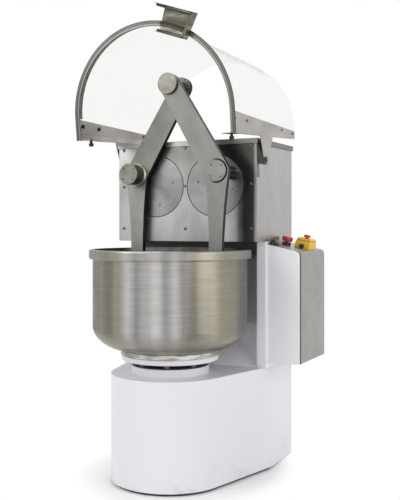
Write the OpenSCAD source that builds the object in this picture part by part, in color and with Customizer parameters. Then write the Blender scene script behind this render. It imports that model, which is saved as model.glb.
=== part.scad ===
// Twin-arm dough mixer: two counter-rotating crank discs drive two bent arms
// whose tools dip into a slowly turning bowl. A tilting clear guard covers the front.
// Origin: on the floor under the bowl's axis. +Z up, the front faces -Y.

/* [Base cabinet] */
// Radius of the rounded front of the base, about the bowl axis
base_front_r = 256; // [200:1:300]
// Half of the body's width
body_half_w = 347; // [320:1:400]
// Where the base's sides reach full width, behind the bowl axis
base_shoulder_y = 317; // [280:1:360]
// Distance from the bowl axis to the back of the base
base_back_y = 582; // [540:1:640]
// Height of the base's top above the floor
base_top_z = 466; // [380:1:520]
// Thickness of the floor plate
floor_plate_t = 12; // [8:1:20]
// How far the floor plate stands in from the base's skin
floor_plate_inset = 14; // [6:1:30]
// Thickness of painted sheet metal
skin_t = 3; // [2:0.5:5]

/* [Column] */
// Distance from the bowl axis to the column's front strips
column_front_y = 250; // [220:1:290]
// Radius of the hollow in the column that clears the bowl
recess_r = 394; // [380:1:440]
// Angle of the panel at the foot of the hollow
foot_slope = 45; // [30:1:60]

/* [Head] */
// Height of the head's underside
head_bottom_z = 1030; // [1010:1:1060]
// Height of the head's top, without its lid
head_top_z = 1478; // [1450:1:1540]
// Distance from the bowl axis to the front plate's face
head_front_y = 143; // [136:1:170]
// Distance from the bowl axis to the back of the head
head_back_y = 586; // [570:1:700]
// Thickness of the front plate
front_plate_t = 6; // [4:0.5:10]
// How far the lid's lip stands out past the head
lid_proud = 6; // [3:0.5:8]
// Height of the lid's turned-down lip
lid_lip_h = 20; // [12:1:30]

/* [Cranks] */
// Distance of each crank disc's axis from the middle plane
crank_x = 148; // [135:1:155]
// Height of the crank discs' axes
crank_z = 1279; // [1250:1:1300]
// How far a crank disc's rim stays from the middle plane
disc_margin = 11; // [6:1:30]
// Thickness of a crank disc
disc_t = 14; // [8:1:20]
// Gap round a crank disc in the front plate
disc_gap = 3; // [1:0.5:5]
// Throw of the crank pins
throw_r = 97.8; // [70:0.2:100]
// Angle of the crank pins above the outward horizontal, as the machine stands
throw_angle = 33.2; // [0:0.2:90]
// Radius of the polished hub behind an arm
hub_r = 30; // [26:1:38]
// Radius of a crank pin inside its arm
pin_r = 22; // [16:1:26]
// Number of teeth of each timing gear
gear_teeth = 29; // [29:2:33]
// Face width of the timing gears
gear_w = 40; // [24:1:60]
// Backlash taken from each timing gear's tooth
gear_backlash = 0.5; // [0.2:0.1:1]

/* [Arms] */
// Thickness of an arm
arm_t = 25; // [18:1:54]
// Distance of the front arm's front face from the bowl axis
arm_front_y = -20; // [-30:1:20]
// Gap between the two arms' planes
arm_gap = 94; // [2:0.5:100]
// Height of the top pivot, as the machine stands
apex_z = 1716; // [1680:1:1740]
// Radius of an arm's eye at the top pivot
apex_eye_r = 46; // [40:1:48]
// Half of an arm's width at the elbow
elbow_half_w = 55; // [36:0.5:57]
// Half of an arm's width at its lower end
wrist_half_w = 29; // [22:1:34]
// Height of an arm's lower end, where the tool begins
wrist_z = 938; // [900:1:960]
// How far the lower end leans in from the elbow
wrist_lean = 6; // [0:1:12]
// Radius of the elbow and apex caps
cap_r = 47; // [38:0.5:50]
// How far the right elbow's cap stands proud of its arm
cap_t = 5; // [2:0.5:18]
// How far the left elbow's cap stands proud of its arm
long_cap_t = 72; // [40:1:90]
// How far the top pin's front cap stands proud of its arm
apex_cap_t = 11; // [8:1:18]
// Radius of the top pin
apex_pin_r = 26; // [18:1:30]
// Drop of the tools' lowest point below the elbow
tool_drop = 590; // [560:1:596]

/* [Bowl] */
// Outer radius of the bowl's rolled rim
rim_r = 352; // [330:1:352]
// Height of the bowl's rim
rim_z = 998; // [960:1:1010]
// Height of the rim band
rim_h = 40; // [20:1:60]
// Outer radius of the bowl's wall
bowl_r = 336; // [320:1:340]
// Thickness of the bowl's sheet
bowl_t = 3; // [2:0.5:5]
// Height where the straight wall starts to turn in
knuckle_z = 668; // [640:1:690]
// Outer radius of the bowl's foot collar
collar_r = 214; // [190:1:230]
// Height of the bowl's foot collar
collar_h = 22; // [14:1:30]
// Radius of the turntable disc
turntable_r = 210; // [190:1:226]
// Thickness of the turntable disc
turntable_t = 23; // [14:1:30]
// Radius of the white bearing ring on the base
bearing_ring_r = 169; // [150:1:180]
// Height of the white bearing ring
bearing_ring_h = 34; // [24:1:40]
// Height of the open gap between ring and turntable
turntable_gap = 23; // [16:1:30]

/* [Guard] */
// How far the bow's outer edge stands out past the body's side
bow_overhang = 33; // [29:1:50]
// Gap between the body's side and the guard's side plates
side_gap = 16; // [14:1:24]
// Lean of the raised bow towards the front
bow_lean = 6.8; // [0:0.2:10]
// Bow's lower corners: distance in front of the bowl axis
bow_corner_y = -155; // [-180:1:-140]
// Bow's lower corners: height
bow_corner_z = 1472; // [1450:1:1490]
// Straight leg of the bow below its arch
bow_leg = 97; // [80:1:130]
// Width of the bow's front flange
bow_flange = 22; // [14:1:26]
// Rear end of the guard: distance behind the bowl axis
guard_rear_y = 576; // [540:1:600]
// Rear end of the guard: height of its lower edge
guard_rear_z = 1514; // [1490:1:1530]
// Lean of the hood's rear edge towards the back
rear_lean = 4.8; // [0:0.2:10]
// Straight leg of the hood's rear edge below its arch
rear_leg = 42; // [30:1:60]
// Height of a side plate at the bow
side_plate_h = 92; // [70:1:110]
// Thickness of the clear hood
hood_t = 4; // [3:0.5:6]
// Hinge axis: distance behind the bowl axis
hinge_y = 200; // [190:1:215]
// Hinge axis: height
hinge_z = 1389; // [1370:1:1400]
// Length of the rubber bumpers under the bow's corners
bumper_l = 25; // [18:1:34]

/* [Control box] */
// Width of the control box
box_w = 154; // [120:1:180]
// Front of the control box, behind the bowl axis
box_front_y = 258; // [254:1:280]
// Back of the control box, behind the bowl axis
box_back_y = 616; // [580:1:628]
// Height of the control box's underside
box_bottom_z = 492; // [480:1:560]
// Height of the control box's top at the head
box_top_z = 1018; // [980:1:1024]
// Slope of the control box's top
box_slope = 12; // [6:1:18]
// Radius of the outer top corner
box_corner_r = 24; // [12:1:34]

/* [Hidden] */
$fn = 96;
eps = 0.01;
fit = 0.05;
clear = 0.3;

disc_r = crank_x - disc_margin;
pin_x = crank_x + throw_r * cos(throw_angle);
pin_z = crank_z + throw_r * sin(throw_angle);
rear_arm_y = arm_front_y + arm_t + arm_gap;
wrist_x = pin_x - wrist_lean;
tool_low_z = pin_z - tool_drop;
gear_module = 2 * crank_x / gear_teeth;
gear_y = head_front_y + 64;
shaft_r = 30;
bearing_plate_t = 16;

turntable_z = base_top_z + bearing_ring_h + turntable_gap;
collar_z = turntable_z + turntable_t + 2;
bowl_foot_z = collar_z + collar_h;
spindle_r = 45;
flange_r = bearing_ring_r - 4;
flange_t = 4;

bow_r = body_half_w + bow_overhang;
side_t = 3;
side_x = body_half_w + side_gap;
hood_r = side_x - clear;
bow_up = [0, -sin(bow_lean), cos(bow_lean)];
rear_up = [0, sin(rear_lean), cos(rear_lean)];
bow_corner = [0, bow_corner_y, bow_corner_z];
rear_corner = [0, guard_rear_y, guard_rear_z];
sweep = rear_corner + rear_leg * rear_up - bow_corner - bow_leg * bow_up;
edge_angle = atan2(guard_rear_z - bow_corner_z, guard_rear_y - bow_corner_y);
edge_len = norm([guard_rear_y - bow_corner_y, guard_rear_z - bow_corner_z]);

// Cylinder along +Y from y0 to y1
module y_cyl(r, y0, y1, x = 0, z = 0)
    translate([x, y0, z]) rotate([-90, 0, 0]) cylinder(r = r, h = y1 - y0);

// Cone frustum along +Y
module y_cone(r0, r1, y0, y1, x = 0, z = 0)
    translate([x, y0, z]) rotate([-90, 0, 0]) cylinder(r1 = r0, r2 = r1, h = y1 - y0);

// Box given by its lowest and highest corners
module span(a, b)
    translate(a) cube(b - a);

// Both mirror images about the middle plane
module both_sides() {
    children();
    mirror([1, 0, 0]) children();
}

// Plate drawn in X-Z, standing from y0 to y1
module xz_plate(y0, y1)
    translate([0, y1, 0]) rotate([90, 0, 0]) linear_extrude(y1 - y0) children();

// Plate drawn in Y-Z, standing from x0 to x1
module yz_plate(x0, x1)
    translate([x0, 0, 0]) rotate([90, 0, 90]) linear_extrude(x1 - x0) children();

// Outline of a bar between two round ends, with its sides a hair inside the tangents
link_step = 0.03;
module link_outline(p, rp, q, rq) {
    d = norm(q - p);
    dir = atan2(q[1] - p[1], q[0] - p[0]);
    off = acos((rp - rq) / d);
    translate(p) circle(r = rp);
    translate(q) circle(r = rq);
    polygon([
        p + (rp - link_step) * [cos(dir + off), sin(dir + off)],
        p + (rp - link_step) * [cos(dir - off), sin(dir - off)],
        q + (rq - link_step) * [cos(dir - off), sin(dir - off)],
        q + (rq - link_step) * [cos(dir + off), sin(dir + off)]
    ]);
}

// Low domed screw along -Y, its head's seat at y, its shank as long as given
module y_screw(x, y, z, r, shank) {
    translate([x, y, z]) rotate([90, 0, 0]) {
        cylinder(r = r, h = r * 0.3);
        translate([0, 0, r * 0.3 - eps]) cylinder(r1 = r, r2 = r * 0.62, h = r * 0.28);
    }
    y_cyl(r * 0.5, y - eps, y + shank, x, z);
}

// Clearance hole for such a screw
module y_screw_hole(x, y, z, r, depth)
    y_cyl(r * 0.5 + hole_play, y - 1, y + depth, x, z);
hole_play = 0.2;

// Plan of the base: round front, tangent sides that widen to the shoulder, parallel rear
module base_outline(inset = 0) {
    r = base_front_r - inset;
    w = body_half_w - inset;
    shoulder = [w, base_shoulder_y];
    touch = atan2(shoulder[1], shoulder[0]) - acos(r / norm(shoulder));
    x1 = r * cos(touch);
    y1 = r * sin(touch);
    circle(r = r, $fn = 180);
    polygon([[x1, y1], shoulder, [w, base_back_y - inset],
             [-w, base_back_y - inset], [-w, base_shoulder_y], [-x1, y1]]);
}

module base_plate() {
    color([0.16, 0.16, 0.17])
    linear_extrude(floor_plate_t) base_outline(floor_plate_inset);
}

// Welded sheet casing with a return flange that stands on the floor plate
base_flange = 45;
spindle_body_r = 110;
module base_cabinet() {
    color([0.9, 0.9, 0.92])
    difference() {
        translate([0, 0, floor_plate_t]) linear_extrude(base_top_z - floor_plate_t) base_outline();
        translate([0, 0, floor_plate_t - 1]) linear_extrude(base_top_z) base_outline(base_flange);
        translate([0, 0, floor_plate_t + skin_t])
            linear_extrude(base_top_z - floor_plate_t - 2 * skin_t) base_outline(skin_t);
    }
    color([0.9, 0.9, 0.92])
    translate([0, 0, base_top_z - skin_t]) linear_extrude(skin_t) difference() {
        base_outline(base_flange - 1);
        circle(r = spindle_body_r + fit);
    }
}

// White ring on the base with the bearing body that hangs below it
module spindle_housing() {
    color([0.87, 0.87, 0.9])
    difference() {
        union() {
            translate([0, 0, base_top_z]) cylinder(r = bearing_ring_r, h = bearing_ring_h);
            translate([0, 0, base_top_z - 150]) cylinder(r = spindle_body_r, h = 150 + eps);
        }
        translate([0, 0, base_top_z - 151]) cylinder(r = spindle_r + fit, h = 151 + bearing_ring_h + 1);
    }
}

module bowl_reducer() {
    color([0.3, 0.36, 0.42])
    difference() {
        union() {
            span([-95, -100, base_top_z - 290], [95, 150, base_top_z - 150 - clear]);
            translate([0, 0, base_top_z - 330]) cylinder(r = 80, h = 45);
        }
        translate([0, 0, base_top_z - 332]) cylinder(r = spindle_r + fit, h = 190);
    }
}

module bowl_motor() {
    color([0.3, 0.36, 0.42]) {
        y_cyl(90, 150 + clear, 164, 0, base_top_z - 220);
        difference() {
            y_cyl(78, 163, 400, 0, base_top_z - 220);
            for (a = [0 : 15 : 345])
                translate([0, 180, base_top_z - 220]) rotate([0, a, 0]) translate([72, 0, -1.5]) cube([10, 200, 3]);
        }
        y_cyl(80, 399, 440, 0, base_top_z - 220);
        span([-28, 210, base_top_z - 150], [28, 290, base_top_z - 125]);
    }
}

module bowl_spindle() {
    color([0.45, 0.45, 0.46])
    union() {
        translate([0, 0, base_top_z - 300]) cylinder(r = spindle_r, h = 300 + bearing_ring_h + clear + flange_t);
        translate([0, 0, base_top_z + bearing_ring_h + clear]) cylinder(r = flange_r, h = flange_t);
    }
}

spacer_count = 8;
spacer_ring_r = flange_r - 16;
module turntable_spacers() {
    color([0.82, 0.82, 0.82])
    for (i = [0 : spacer_count - 1])
        rotate([0, 0, (i + 0.5) * 360 / spacer_count]) translate([spacer_ring_r, 0, 0]) {
            z0 = base_top_z + bearing_ring_h + clear + flange_t;
            translate([0, 0, z0]) cylinder(r = 12, h = turntable_z - z0);
            translate([0, 0, z0]) cylinder(r = 15, h = 5, $fn = 6);
        }
}

module turntable_disc() {
    edge = 3;
    color([0.87, 0.87, 0.9])
    translate([0, 0, turntable_z]) rotate_extrude($fn = 180)
        polygon([[0, 0], [turntable_r - edge, 0], [turntable_r, edge],
                 [turntable_r, turntable_t - edge], [turntable_r - edge, turntable_t], [0, turntable_t]]);
}

module bowl_collar() {
    color([0.7, 0.7, 0.68])
    translate([0, 0, turntable_z + turntable_t]) rotate_extrude($fn = 180)
        polygon([[0, 0], [collar_r - 6, 0], [collar_r - 6, 2], [collar_r, 2],
                 [collar_r, collar_h - 2], [collar_r - 3, collar_h + 2], [0, collar_h + 2]]);
}

// Half-section points of the bowl's outside, from the foot to the wall
knuckle_steps = 10;
dish_r = collar_r - 4;
function knuckle_point(t, off) =
    let (h = knuckle_z - bowl_foot_z, w = bowl_r - dish_r, a = 90 * t)
    [dish_r + (w - off) * pow(sin(a), dish_power), bowl_foot_z + off + (h - off) * (1 - pow(cos(a), dish_power))];
dish_power = 1.12;

module bowl() {
    outer = [for (i = [0 : knuckle_steps]) knuckle_point(i / knuckle_steps, 0)];
    inner = [for (i = [knuckle_steps : -1 : 0]) knuckle_point(i / knuckle_steps, bowl_t)];
    color([0.74, 0.73, 0.7])
    rotate_extrude($fn = 180)
        polygon(concat([[0, bowl_foot_z]], outer,
            [[bowl_r, rim_z - rim_h], [rim_r - 5, rim_z - rim_h], [rim_r, rim_z - rim_h + 5],
             [rim_r, rim_z - 6], [rim_r - 2, rim_z - 2], [rim_r - 6, rim_z],
             [bowl_r - bowl_t, rim_z], [bowl_r - bowl_t, knuckle_z]],
            inner, [[0, bowl_foot_z + bowl_t]]));
}

// Column

module column_side_right() {
    strip = sqrt(recess_r * recess_r - column_front_y * column_front_y);
    z0 = base_top_z;
    z1 = head_bottom_z;
    color([0.9, 0.9, 0.92]) {
        span([body_half_w - skin_t, column_front_y, z0], [body_half_w, base_back_y, z1]);
        span([strip, column_front_y, z0], [body_half_w - skin_t + eps, column_front_y + skin_t, z1]);
        span([body_half_w - 40, base_back_y - 2 * skin_t, z0], [body_half_w - skin_t + eps, base_back_y - skin_t, z1]);
    }
}

module column_side_left()
    mirror([1, 0, 0]) column_side_right();

// Curved sheet behind the bowl and the sloped panel at its foot
module column_recess() {
    sheet = skin_t;
    half = body_half_w - skin_t - clear;
    rise = (recess_r - column_front_y) * tan(foot_slope);
    color([0.36, 0.36, 0.38]) {
        intersection() {
            difference() {
                translate([0, 0, base_top_z]) cylinder(r = recess_r + sheet, h = head_bottom_z - base_top_z, $fn = 240);
                translate([0, 0, base_top_z - 1]) cylinder(r = recess_r, h = head_bottom_z - base_top_z + 2, $fn = 240);
            }
            span([-half, column_front_y + skin_t + clear, base_top_z], [half, base_back_y, head_bottom_z]);
        }
        intersection() {
            translate([0, 0, base_top_z]) cylinder(r = recess_r + sheet / 2, h = rise + 1, $fn = 240);
            yz_plate(-half, half)
                polygon([[column_front_y + skin_t + clear, base_top_z],
                         [column_front_y + skin_t + clear + sheet, base_top_z],
                         [recess_r + sheet, base_top_z + rise - sheet],
                         [recess_r + sheet, base_top_z + rise]]);
        }
    }
}

module column_rear_cover() {
    w = body_half_w - skin_t - clear;
    color([0.88, 0.88, 0.9])
    difference() {
        span([-w, base_back_y - skin_t, base_top_z + 2], [w, base_back_y, head_bottom_z - 2]);
        for (i = [0 : 7])
            span([-90, base_back_y - 2 * skin_t, base_top_z + 90 + 22 * i],
                 [90, base_back_y + skin_t, base_top_z + 98 + 22 * i]);
        y_cyl(gland_r + hole_play, base_back_y - 2 * skin_t, base_back_y + 1, gland_x, gland_z);
    }
}

// Head

module head_housing() {
    t = skin_t;
    w = body_half_w;
    y0 = head_front_y + front_plate_t + clear;
    color([0.7, 0.7, 0.69]) {
        both_sides() {
            span([w - t, y0, head_bottom_z], [w, head_back_y, head_top_z]);
            span([w - 30, y0, head_bottom_z + t], [w - t + eps, y0 + t, head_top_z]);
            span([w - 30, head_back_y - t, head_bottom_z + t], [w - t + eps, head_back_y, head_top_z]);
        }
        span([-w + t - eps, y0, head_bottom_z], [w - t + eps, head_back_y, head_bottom_z + t]);
    }
}

module front_plate() {
    w = body_half_w;
    color([0.62, 0.62, 0.62])
    difference() {
        span([-w, head_front_y, head_bottom_z], [w, head_front_y + front_plate_t, head_top_z]);
        both_sides() y_cyl(disc_r + disc_gap, head_front_y - 1, head_front_y + front_plate_t + 1, crank_x, crank_z);
        for (p = front_screw_places)
            y_screw_hole(p[0], head_front_y, p[1], screw_r, front_plate_t + 1);
    }
}

screw_r = 7;
screw_inset_x = 26;
screw_rows = [head_bottom_z + 57, (head_bottom_z + head_top_z) / 2 + 27, head_top_z - lid_lip_h - 8];
front_screw_places = [
    for (x = [-1, 0, 1], i = [0 : 2]) if (x != 0 || i != 1) [x * (body_half_w - screw_inset_x), screw_rows[i]]];
module front_plate_screws() {
    color([0.5, 0.5, 0.5])
    for (p = front_screw_places)
        y_screw(p[0], head_front_y, p[1], screw_r, front_plate_t - 0.5);
}

module head_lid() {
    p = lid_proud;
    t = 3;
    w = body_half_w + p;
    color([0.72, 0.72, 0.72])
    difference() {
        hull() {
            span([-w, head_front_y - p, head_top_z - lid_lip_h], [w, head_back_y + p, head_top_z + t - 2]);
            span([-w + 2, head_front_y - p + 2, head_top_z], [w - 2, head_back_y + p - 2, head_top_z + t]);
        }
        span([-w + t, head_front_y - p + t, head_top_z - lid_lip_h - 1], [w - t, head_back_y + p - t, head_top_z + clear]);
    }
}

module head_rear_cover() {
    w = body_half_w - 14;
    color([0.7, 0.7, 0.69])
    difference() {
        span([-w, head_back_y + clear, head_bottom_z + 14],
             [w, head_back_y + clear + rear_cover_t, head_top_z - lid_lip_h - 4]);
        for (s = [-1, 1], i = [0 : 9])
            span([s * 150 - 80, head_back_y - 1, head_bottom_z + 110 + 20 * i],
                 [s * 150 + 80, head_back_y + 4, head_bottom_z + 117 + 20 * i]);
        for (p = rear_screw_places)
            y_screw_hole(p[0], head_back_y, p[1], screw_r, 4);
    }
}

rear_cover_t = 2;
rear_screw_places = [
    for (x = [-body_half_w + 22, 0, body_half_w - 22], z = [head_bottom_z + 24, head_top_z - lid_lip_h - 14]) [x, z]];
module rear_cover_screws() {
    y0 = head_back_y + clear + rear_cover_t;
    color([0.5, 0.5, 0.5])
    for (p = rear_screw_places)
        translate([0, 2 * y0, 0]) mirror([0, 1, 0]) y_screw(p[0], y0, p[1], screw_r, rear_cover_t);
}

// Twin-bore plates that carry the two crank shafts
module shaft_plate(y0, boss_y0, boss_y1) {
    w = crank_x + 110;
    color([0.35, 0.36, 0.38])
    difference() {
        union() {
            span([-w, y0, head_bottom_z + skin_t], [w, y0 + bearing_plate_t, crank_z + 120]);
            both_sides() y_cyl(70, boss_y0, boss_y1, crank_x, crank_z);
        }
        both_sides() y_cyl(shaft_r + fit, boss_y0 - 1, boss_y1 + 1, crank_x, crank_z);
        span([-40, y0 - 1, crank_z - 130], [40, y0 + bearing_plate_t + 1, crank_z + 60]);
    }
}

plate_front_y = gear_y - 32;
plate_rear_y = gear_y + gear_w + 16;
module bearing_plate_front()
    shaft_plate(plate_front_y, plate_front_y - 10, plate_front_y + bearing_plate_t + 10);

module bearing_plate_rear()
    shaft_plate(plate_rear_y, plate_rear_y - 10, plate_rear_y + bearing_plate_t + 10);

reducer_depth = 180;
reducer_y = plate_rear_y + bearing_plate_t + 10 + clear;
module reducer_case() {
    y0 = reducer_y;
    y1 = y0 + reducer_depth;
    color([0.3, 0.36, 0.42])
    difference() {
        union() {
            span([crank_x - 100, y0, crank_z - 100], [crank_x + 100, y1, crank_z + 100]);
            y_cyl(60, y0 - eps, y1 + 12, crank_x, crank_z);
            span([crank_x - 60, y0, head_bottom_z + skin_t], [crank_x + 60, y0 + 40, crank_z - 99]);
        }
        y_cyl(shaft_r + fit, y0 - 1, y1 + 13, crank_x, crank_z);
    }
}

module drive_motor() {
    y0 = reducer_y + reducer_depth / 2 + 6;
    z0 = crank_z - 10;
    x1 = crank_x - 100 - clear;
    color([0.3, 0.36, 0.42])
    translate([x1, y0, z0]) rotate([0, -90, 0]) {
        cylinder(r = 85, h = 14);
        difference() {
            cylinder(r = 74, h = 230);
            for (a = [0 : 15 : 345])
                rotate([0, 0, a]) translate([68, -1.5, 24]) cube([10, 3, 190]);
        }
        translate([0, 0, 229]) cylinder(r = 77, h = 40);
        translate([60, -30, 70]) cube([40, 60, 80]);
    }
}

// Cranks

module crank_disc(x, deg, shaft_end) {
    y0 = head_front_y;
    translate([x, 0, crank_z]) {
        y_cyl(disc_r, y0, y0 + disc_t);
        y_cyl(shaft_r + 12, y0 + disc_t - eps, plate_front_y - 10 - clear);
        y_cyl(shaft_r, y0 + disc_t - eps, shaft_end);
        for (i = [0 : 3]) rotate([0, 45 + 90 * i - deg, 0]) y_screw(0.62 * disc_r, y0, 0, 5, disc_t / 2);
    }
}

module disc_right()
    color([0.64, 0.64, 0.65]) crank_disc(crank_x, throw_angle, reducer_y + reducer_depth + 8);

module disc_left()
    color([0.64, 0.64, 0.65]) crank_disc(-crank_x, -throw_angle, plate_rear_y + bearing_plate_t + 16);

// Hub and pin; the pin runs in the arm that starts at arm_y
module crank_pin(x, arm_y) {
    y_cyl(hub_r, arm_y + arm_t + clear, head_front_y, x, pin_z);
    y_cyl(pin_r, arm_y + 6, head_front_y, x, pin_z);
}

module crank_pin_right()
    color([0.68, 0.68, 0.66]) crank_pin(pin_x, arm_front_y);

module crank_pin_left()
    color([0.68, 0.68, 0.66]) crank_pin(-pin_x, rear_arm_y);

// Involute flank of a gear tooth
function involute(rb, t) = rb * [cos(t) + t * PI / 180 * sin(t), sin(t) - t * PI / 180 * cos(t)];
flank_steps = 4;
function gear_tooth(m, z, backlash) =
    let (rp = m * z / 2, rb = rp * cos(20), ro = rp + m, rr = rp - 1.2 * m,
         tmax = sqrt(ro * ro / (rb * rb) - 1) * 180 / PI,
         inv20 = tan(20) * 180 / PI - 20,
         half = 90 / z - backlash / 2 / rp * 180 / PI + inv20,
         right = [for (i = [0 : flank_steps]) let (q = involute(rb, tmax * i / flank_steps))
                  norm(q) * [cos(atan2(q[1], q[0]) - half), sin(atan2(q[1], q[0]) - half)]])
    concat([[(rr - 3) * cos(half), -(rr - 3) * sin(half)]], right,
           [for (i = [flank_steps : -1 : 0]) [right[i][0], -right[i][1]]],
           [[(rr - 3) * cos(half), (rr - 3) * sin(half)]]);

module timing_gear(x) {
    m = gear_module;
    tooth = gear_tooth(m, gear_teeth, gear_backlash);
    color([0.42, 0.42, 0.4])
    translate([x, 0, crank_z]) difference() {
        union() {
            xz_plate(gear_y, gear_y + gear_w) {
                circle(r = m * gear_teeth / 2 - 1.2 * m);
                for (i = [0 : gear_teeth - 1]) rotate(i * 360 / gear_teeth) polygon(tooth);
            }
            y_cyl(56, gear_y - 5, gear_y + gear_w + 5);
        }
        y_cyl(shaft_r + fit, gear_y - 6, gear_y + gear_w + 6);
        for (i = [0 : 5]) rotate([0, 60 * i, 0]) y_cyl(20, gear_y - 1, gear_y + gear_w + 1, 92, 0);
    }
}

module gear_right()
    timing_gear(crank_x);

module gear_left()
    timing_gear(-crank_x);

// Arms

// Lower part of an arm: its sides curve in from the elbow to the wrist
taper_stops = [0, 0.18, 0.4, 0.68, 1];
taper_power = 2.2;
function lower_half_w(t) = wrist_half_w + (elbow_half_w - wrist_half_w) * pow(1 - t, taper_power);
function lower_axis(t) = [pin_x + (wrist_x - pin_x) * t, pin_z + (wrist_z - pin_z) * t];
module arm_outline()
    union() {
        link_outline([0, apex_z], apex_eye_r, [pin_x, pin_z], elbow_half_w);
        for (i = [0 : len(taper_stops) - 2]) {
            t = taper_stops[i];
            u = taper_stops[i + 1];
            link_outline(lower_axis(t), lower_half_w(t), lower_axis(u), lower_half_w(u));
        }
    }

wrist_flat = 18;
shank_r = 8;
shank_l = 50;
module arm_bar(y0) {
    difference() {
        xz_plate(y0, y0 + arm_t) difference() {
            arm_outline();
            translate([wrist_x - 100, wrist_z - wrist_flat - 100]) square([200, 100]);
        }
        y_cyl(bush_r + fit, y0 - 1, y0 + arm_t + 1, pin_x, pin_z);
        y_cyl(apex_pin_r + fit, y0 - 1, y0 + arm_t + 1, 0, apex_z);
        translate([wrist_x, y0 + arm_t / 2, wrist_z - wrist_flat - 1])
            cylinder(r = shank_r + fit, h = shank_l + 2);
    }
}
bush_r = 29;

module arm_right()
    color([0.56, 0.57, 0.55]) arm_bar(arm_front_y);

module arm_left()
    color([0.56, 0.57, 0.55]) mirror([1, 0, 0]) arm_bar(rear_arm_y);

module elbow_bush(y0)
    difference() {
        y_cyl(bush_r, y0, y0 + arm_t, pin_x, pin_z);
        y_cyl(pin_r + fit, y0 - 1, y0 + arm_t + 1, pin_x, pin_z);
    }

module elbow_bush_right()
    color([0.7, 0.55, 0.3]) elbow_bush(arm_front_y);

module elbow_bush_left()
    color([0.7, 0.55, 0.3]) mirror([1, 0, 0]) elbow_bush(rear_arm_y);

cap_edge = 1.5;
cap_screws = 4;
module elbow_cap(arm_y, proud) {
    translate([pin_x, arm_y - proud, pin_z]) {
        rotate([-90, 0, 0]) rotate_extrude()
            polygon([[0, 0], [cap_r - cap_edge, 0], [cap_r, cap_edge], [cap_r, proud], [0, proud]]);
        for (i = [0 : cap_screws - 1])
            rotate([0, 40 + i * 360 / cap_screws, 0]) y_cyl(4, -1.5, 1, cap_r - 11);
    }
}

module elbow_cap_right()
    color([0.6, 0.59, 0.57]) elbow_cap(arm_front_y, cap_t);

// The left elbow's long cap stands on a chamfered ring
ring_out = 9;
ring_t = 13;
module elbow_cap_left()
    color([0.55, 0.54, 0.52]) mirror([1, 0, 0]) {
        elbow_cap(rear_arm_y, long_cap_t);
        y_cone(cap_r + ring_out - 5, cap_r + ring_out, rear_arm_y - ring_t, rear_arm_y - ring_t + 5, pin_x, pin_z);
        y_cyl(cap_r + ring_out, rear_arm_y - ring_t + 5 - eps, rear_arm_y, pin_x, pin_z);
    }

apex_cap_r = 46.5;
module apex_pin_front() {
    y0 = arm_front_y - apex_cap_t;
    color([0.62, 0.61, 0.57]) {
        y_cone(apex_cap_r - cap_edge, apex_cap_r, y0, y0 + cap_edge, 0, apex_z);
        y_cyl(apex_cap_r, y0 + cap_edge - eps, arm_front_y, 0, apex_z);
        y_cyl(apex_pin_r, arm_front_y - eps, arm_front_y + arm_t + arm_gap / 2 - clear / 2, 0, apex_z);
    }
}

module apex_pin_rear() {
    color([0.6, 0.59, 0.57]) {
        y_cyl(apex_pin_r, rear_arm_y - arm_gap / 2 + clear / 2, rear_arm_y + arm_t + eps, 0, apex_z);
        y_cyl(apex_cap_r - 4, rear_arm_y + arm_t, rear_arm_y + arm_t + 6, 0, apex_z);
    }
}

// Tools

tool_seat_z = wrist_z - wrist_flat;
tool_bend = 90;
tool_collar_r = 18;
tool_collar_h = 20;
// Collar and shank that plug into an arm's lower end
module tool_shank(y)
    translate([wrist_x, y, tool_seat_z]) {
        translate([0, 0, -tool_collar_h]) cylinder(r = tool_collar_r, h = tool_collar_h);
        translate([0, 0, -eps]) cylinder(r = shank_r, h = shank_l);
    }

// Two-pronged fork that hangs from the front arm
prong_spread = 16;
module fork_tool() {
    r = 9;
    spread = prong_spread;
    ymid = arm_front_y + arm_t / 2;
    low = tool_low_z + r;
    yoke_z = tool_seat_z - tool_collar_h;
    color([0.66, 0.66, 0.64]) {
        tool_shank(ymid);
        hull() {
            translate([wrist_x, ymid, yoke_z - 1]) cylinder(r = tool_collar_r - 2, h = 2, $fn = 32);
            for (s = [-1, 1]) translate([wrist_x, ymid + s * spread, yoke_z - 36]) cylinder(r = r, h = 1, $fn = 32);
        }
        for (s = [-1, 1]) {
            translate([wrist_x, ymid + s * spread, low + tool_bend])
                cylinder(r = r - eps, h = yoke_z - 30 - low - tool_bend);
            translate([wrist_x - tool_bend, ymid + s * spread, low + tool_bend]) rotate([90, 0, 0])
                rotate([0, 0, -90]) rotate_extrude(angle = 90) translate([tool_bend, 0]) circle(r = r);
            translate([wrist_x - tool_bend + 1, ymid + s * spread, low]) rotate([0, -90, 0])
                cylinder(r1 = r - 0.1, r2 = 0.5 * r, h = 20);
        }
    }
}

// Curved paddle that hangs from the rear arm: round shank, flat blade swept inward
blade_w = 46;
module paddle_tool() {
    ymid = rear_arm_y + arm_t / 2;
    blade_r = 120;
    blade_t = 16;
    low = tool_low_z;
    color([0.66, 0.66, 0.64])
    mirror([1, 0, 0]) {
        tool_shank(ymid);
        translate([wrist_x, ymid, low + blade_r - 24])
            cylinder(r = 13, h = tool_seat_z - tool_collar_h + 1 - low - blade_r + 24);
        translate([wrist_x + blade_t / 2 - blade_r, ymid + blade_w / 2, low + blade_r]) rotate([90, 0, 0])
            rotate([0, 0, -86]) rotate_extrude(angle = 86)
                translate([blade_r - blade_t, 0]) square([blade_t, blade_w]);
    }
}

// Guard

// Plane of the bow: drawn in X and height above the corner, leaning forward
module bow_plane()
    translate(bow_corner) rotate([bow_lean, 0, 0]) rotate([90, 0, 0]) children();

module bow_outline(r) {
    intersection() {
        translate([0, bow_leg]) circle(r = r, $fn = 180);
        translate([-r - 1, bow_leg]) square([2 * r + 2, r + 1]);
    }
    translate([-r, 0]) square([2 * r, bow_leg + eps]);
}

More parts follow.
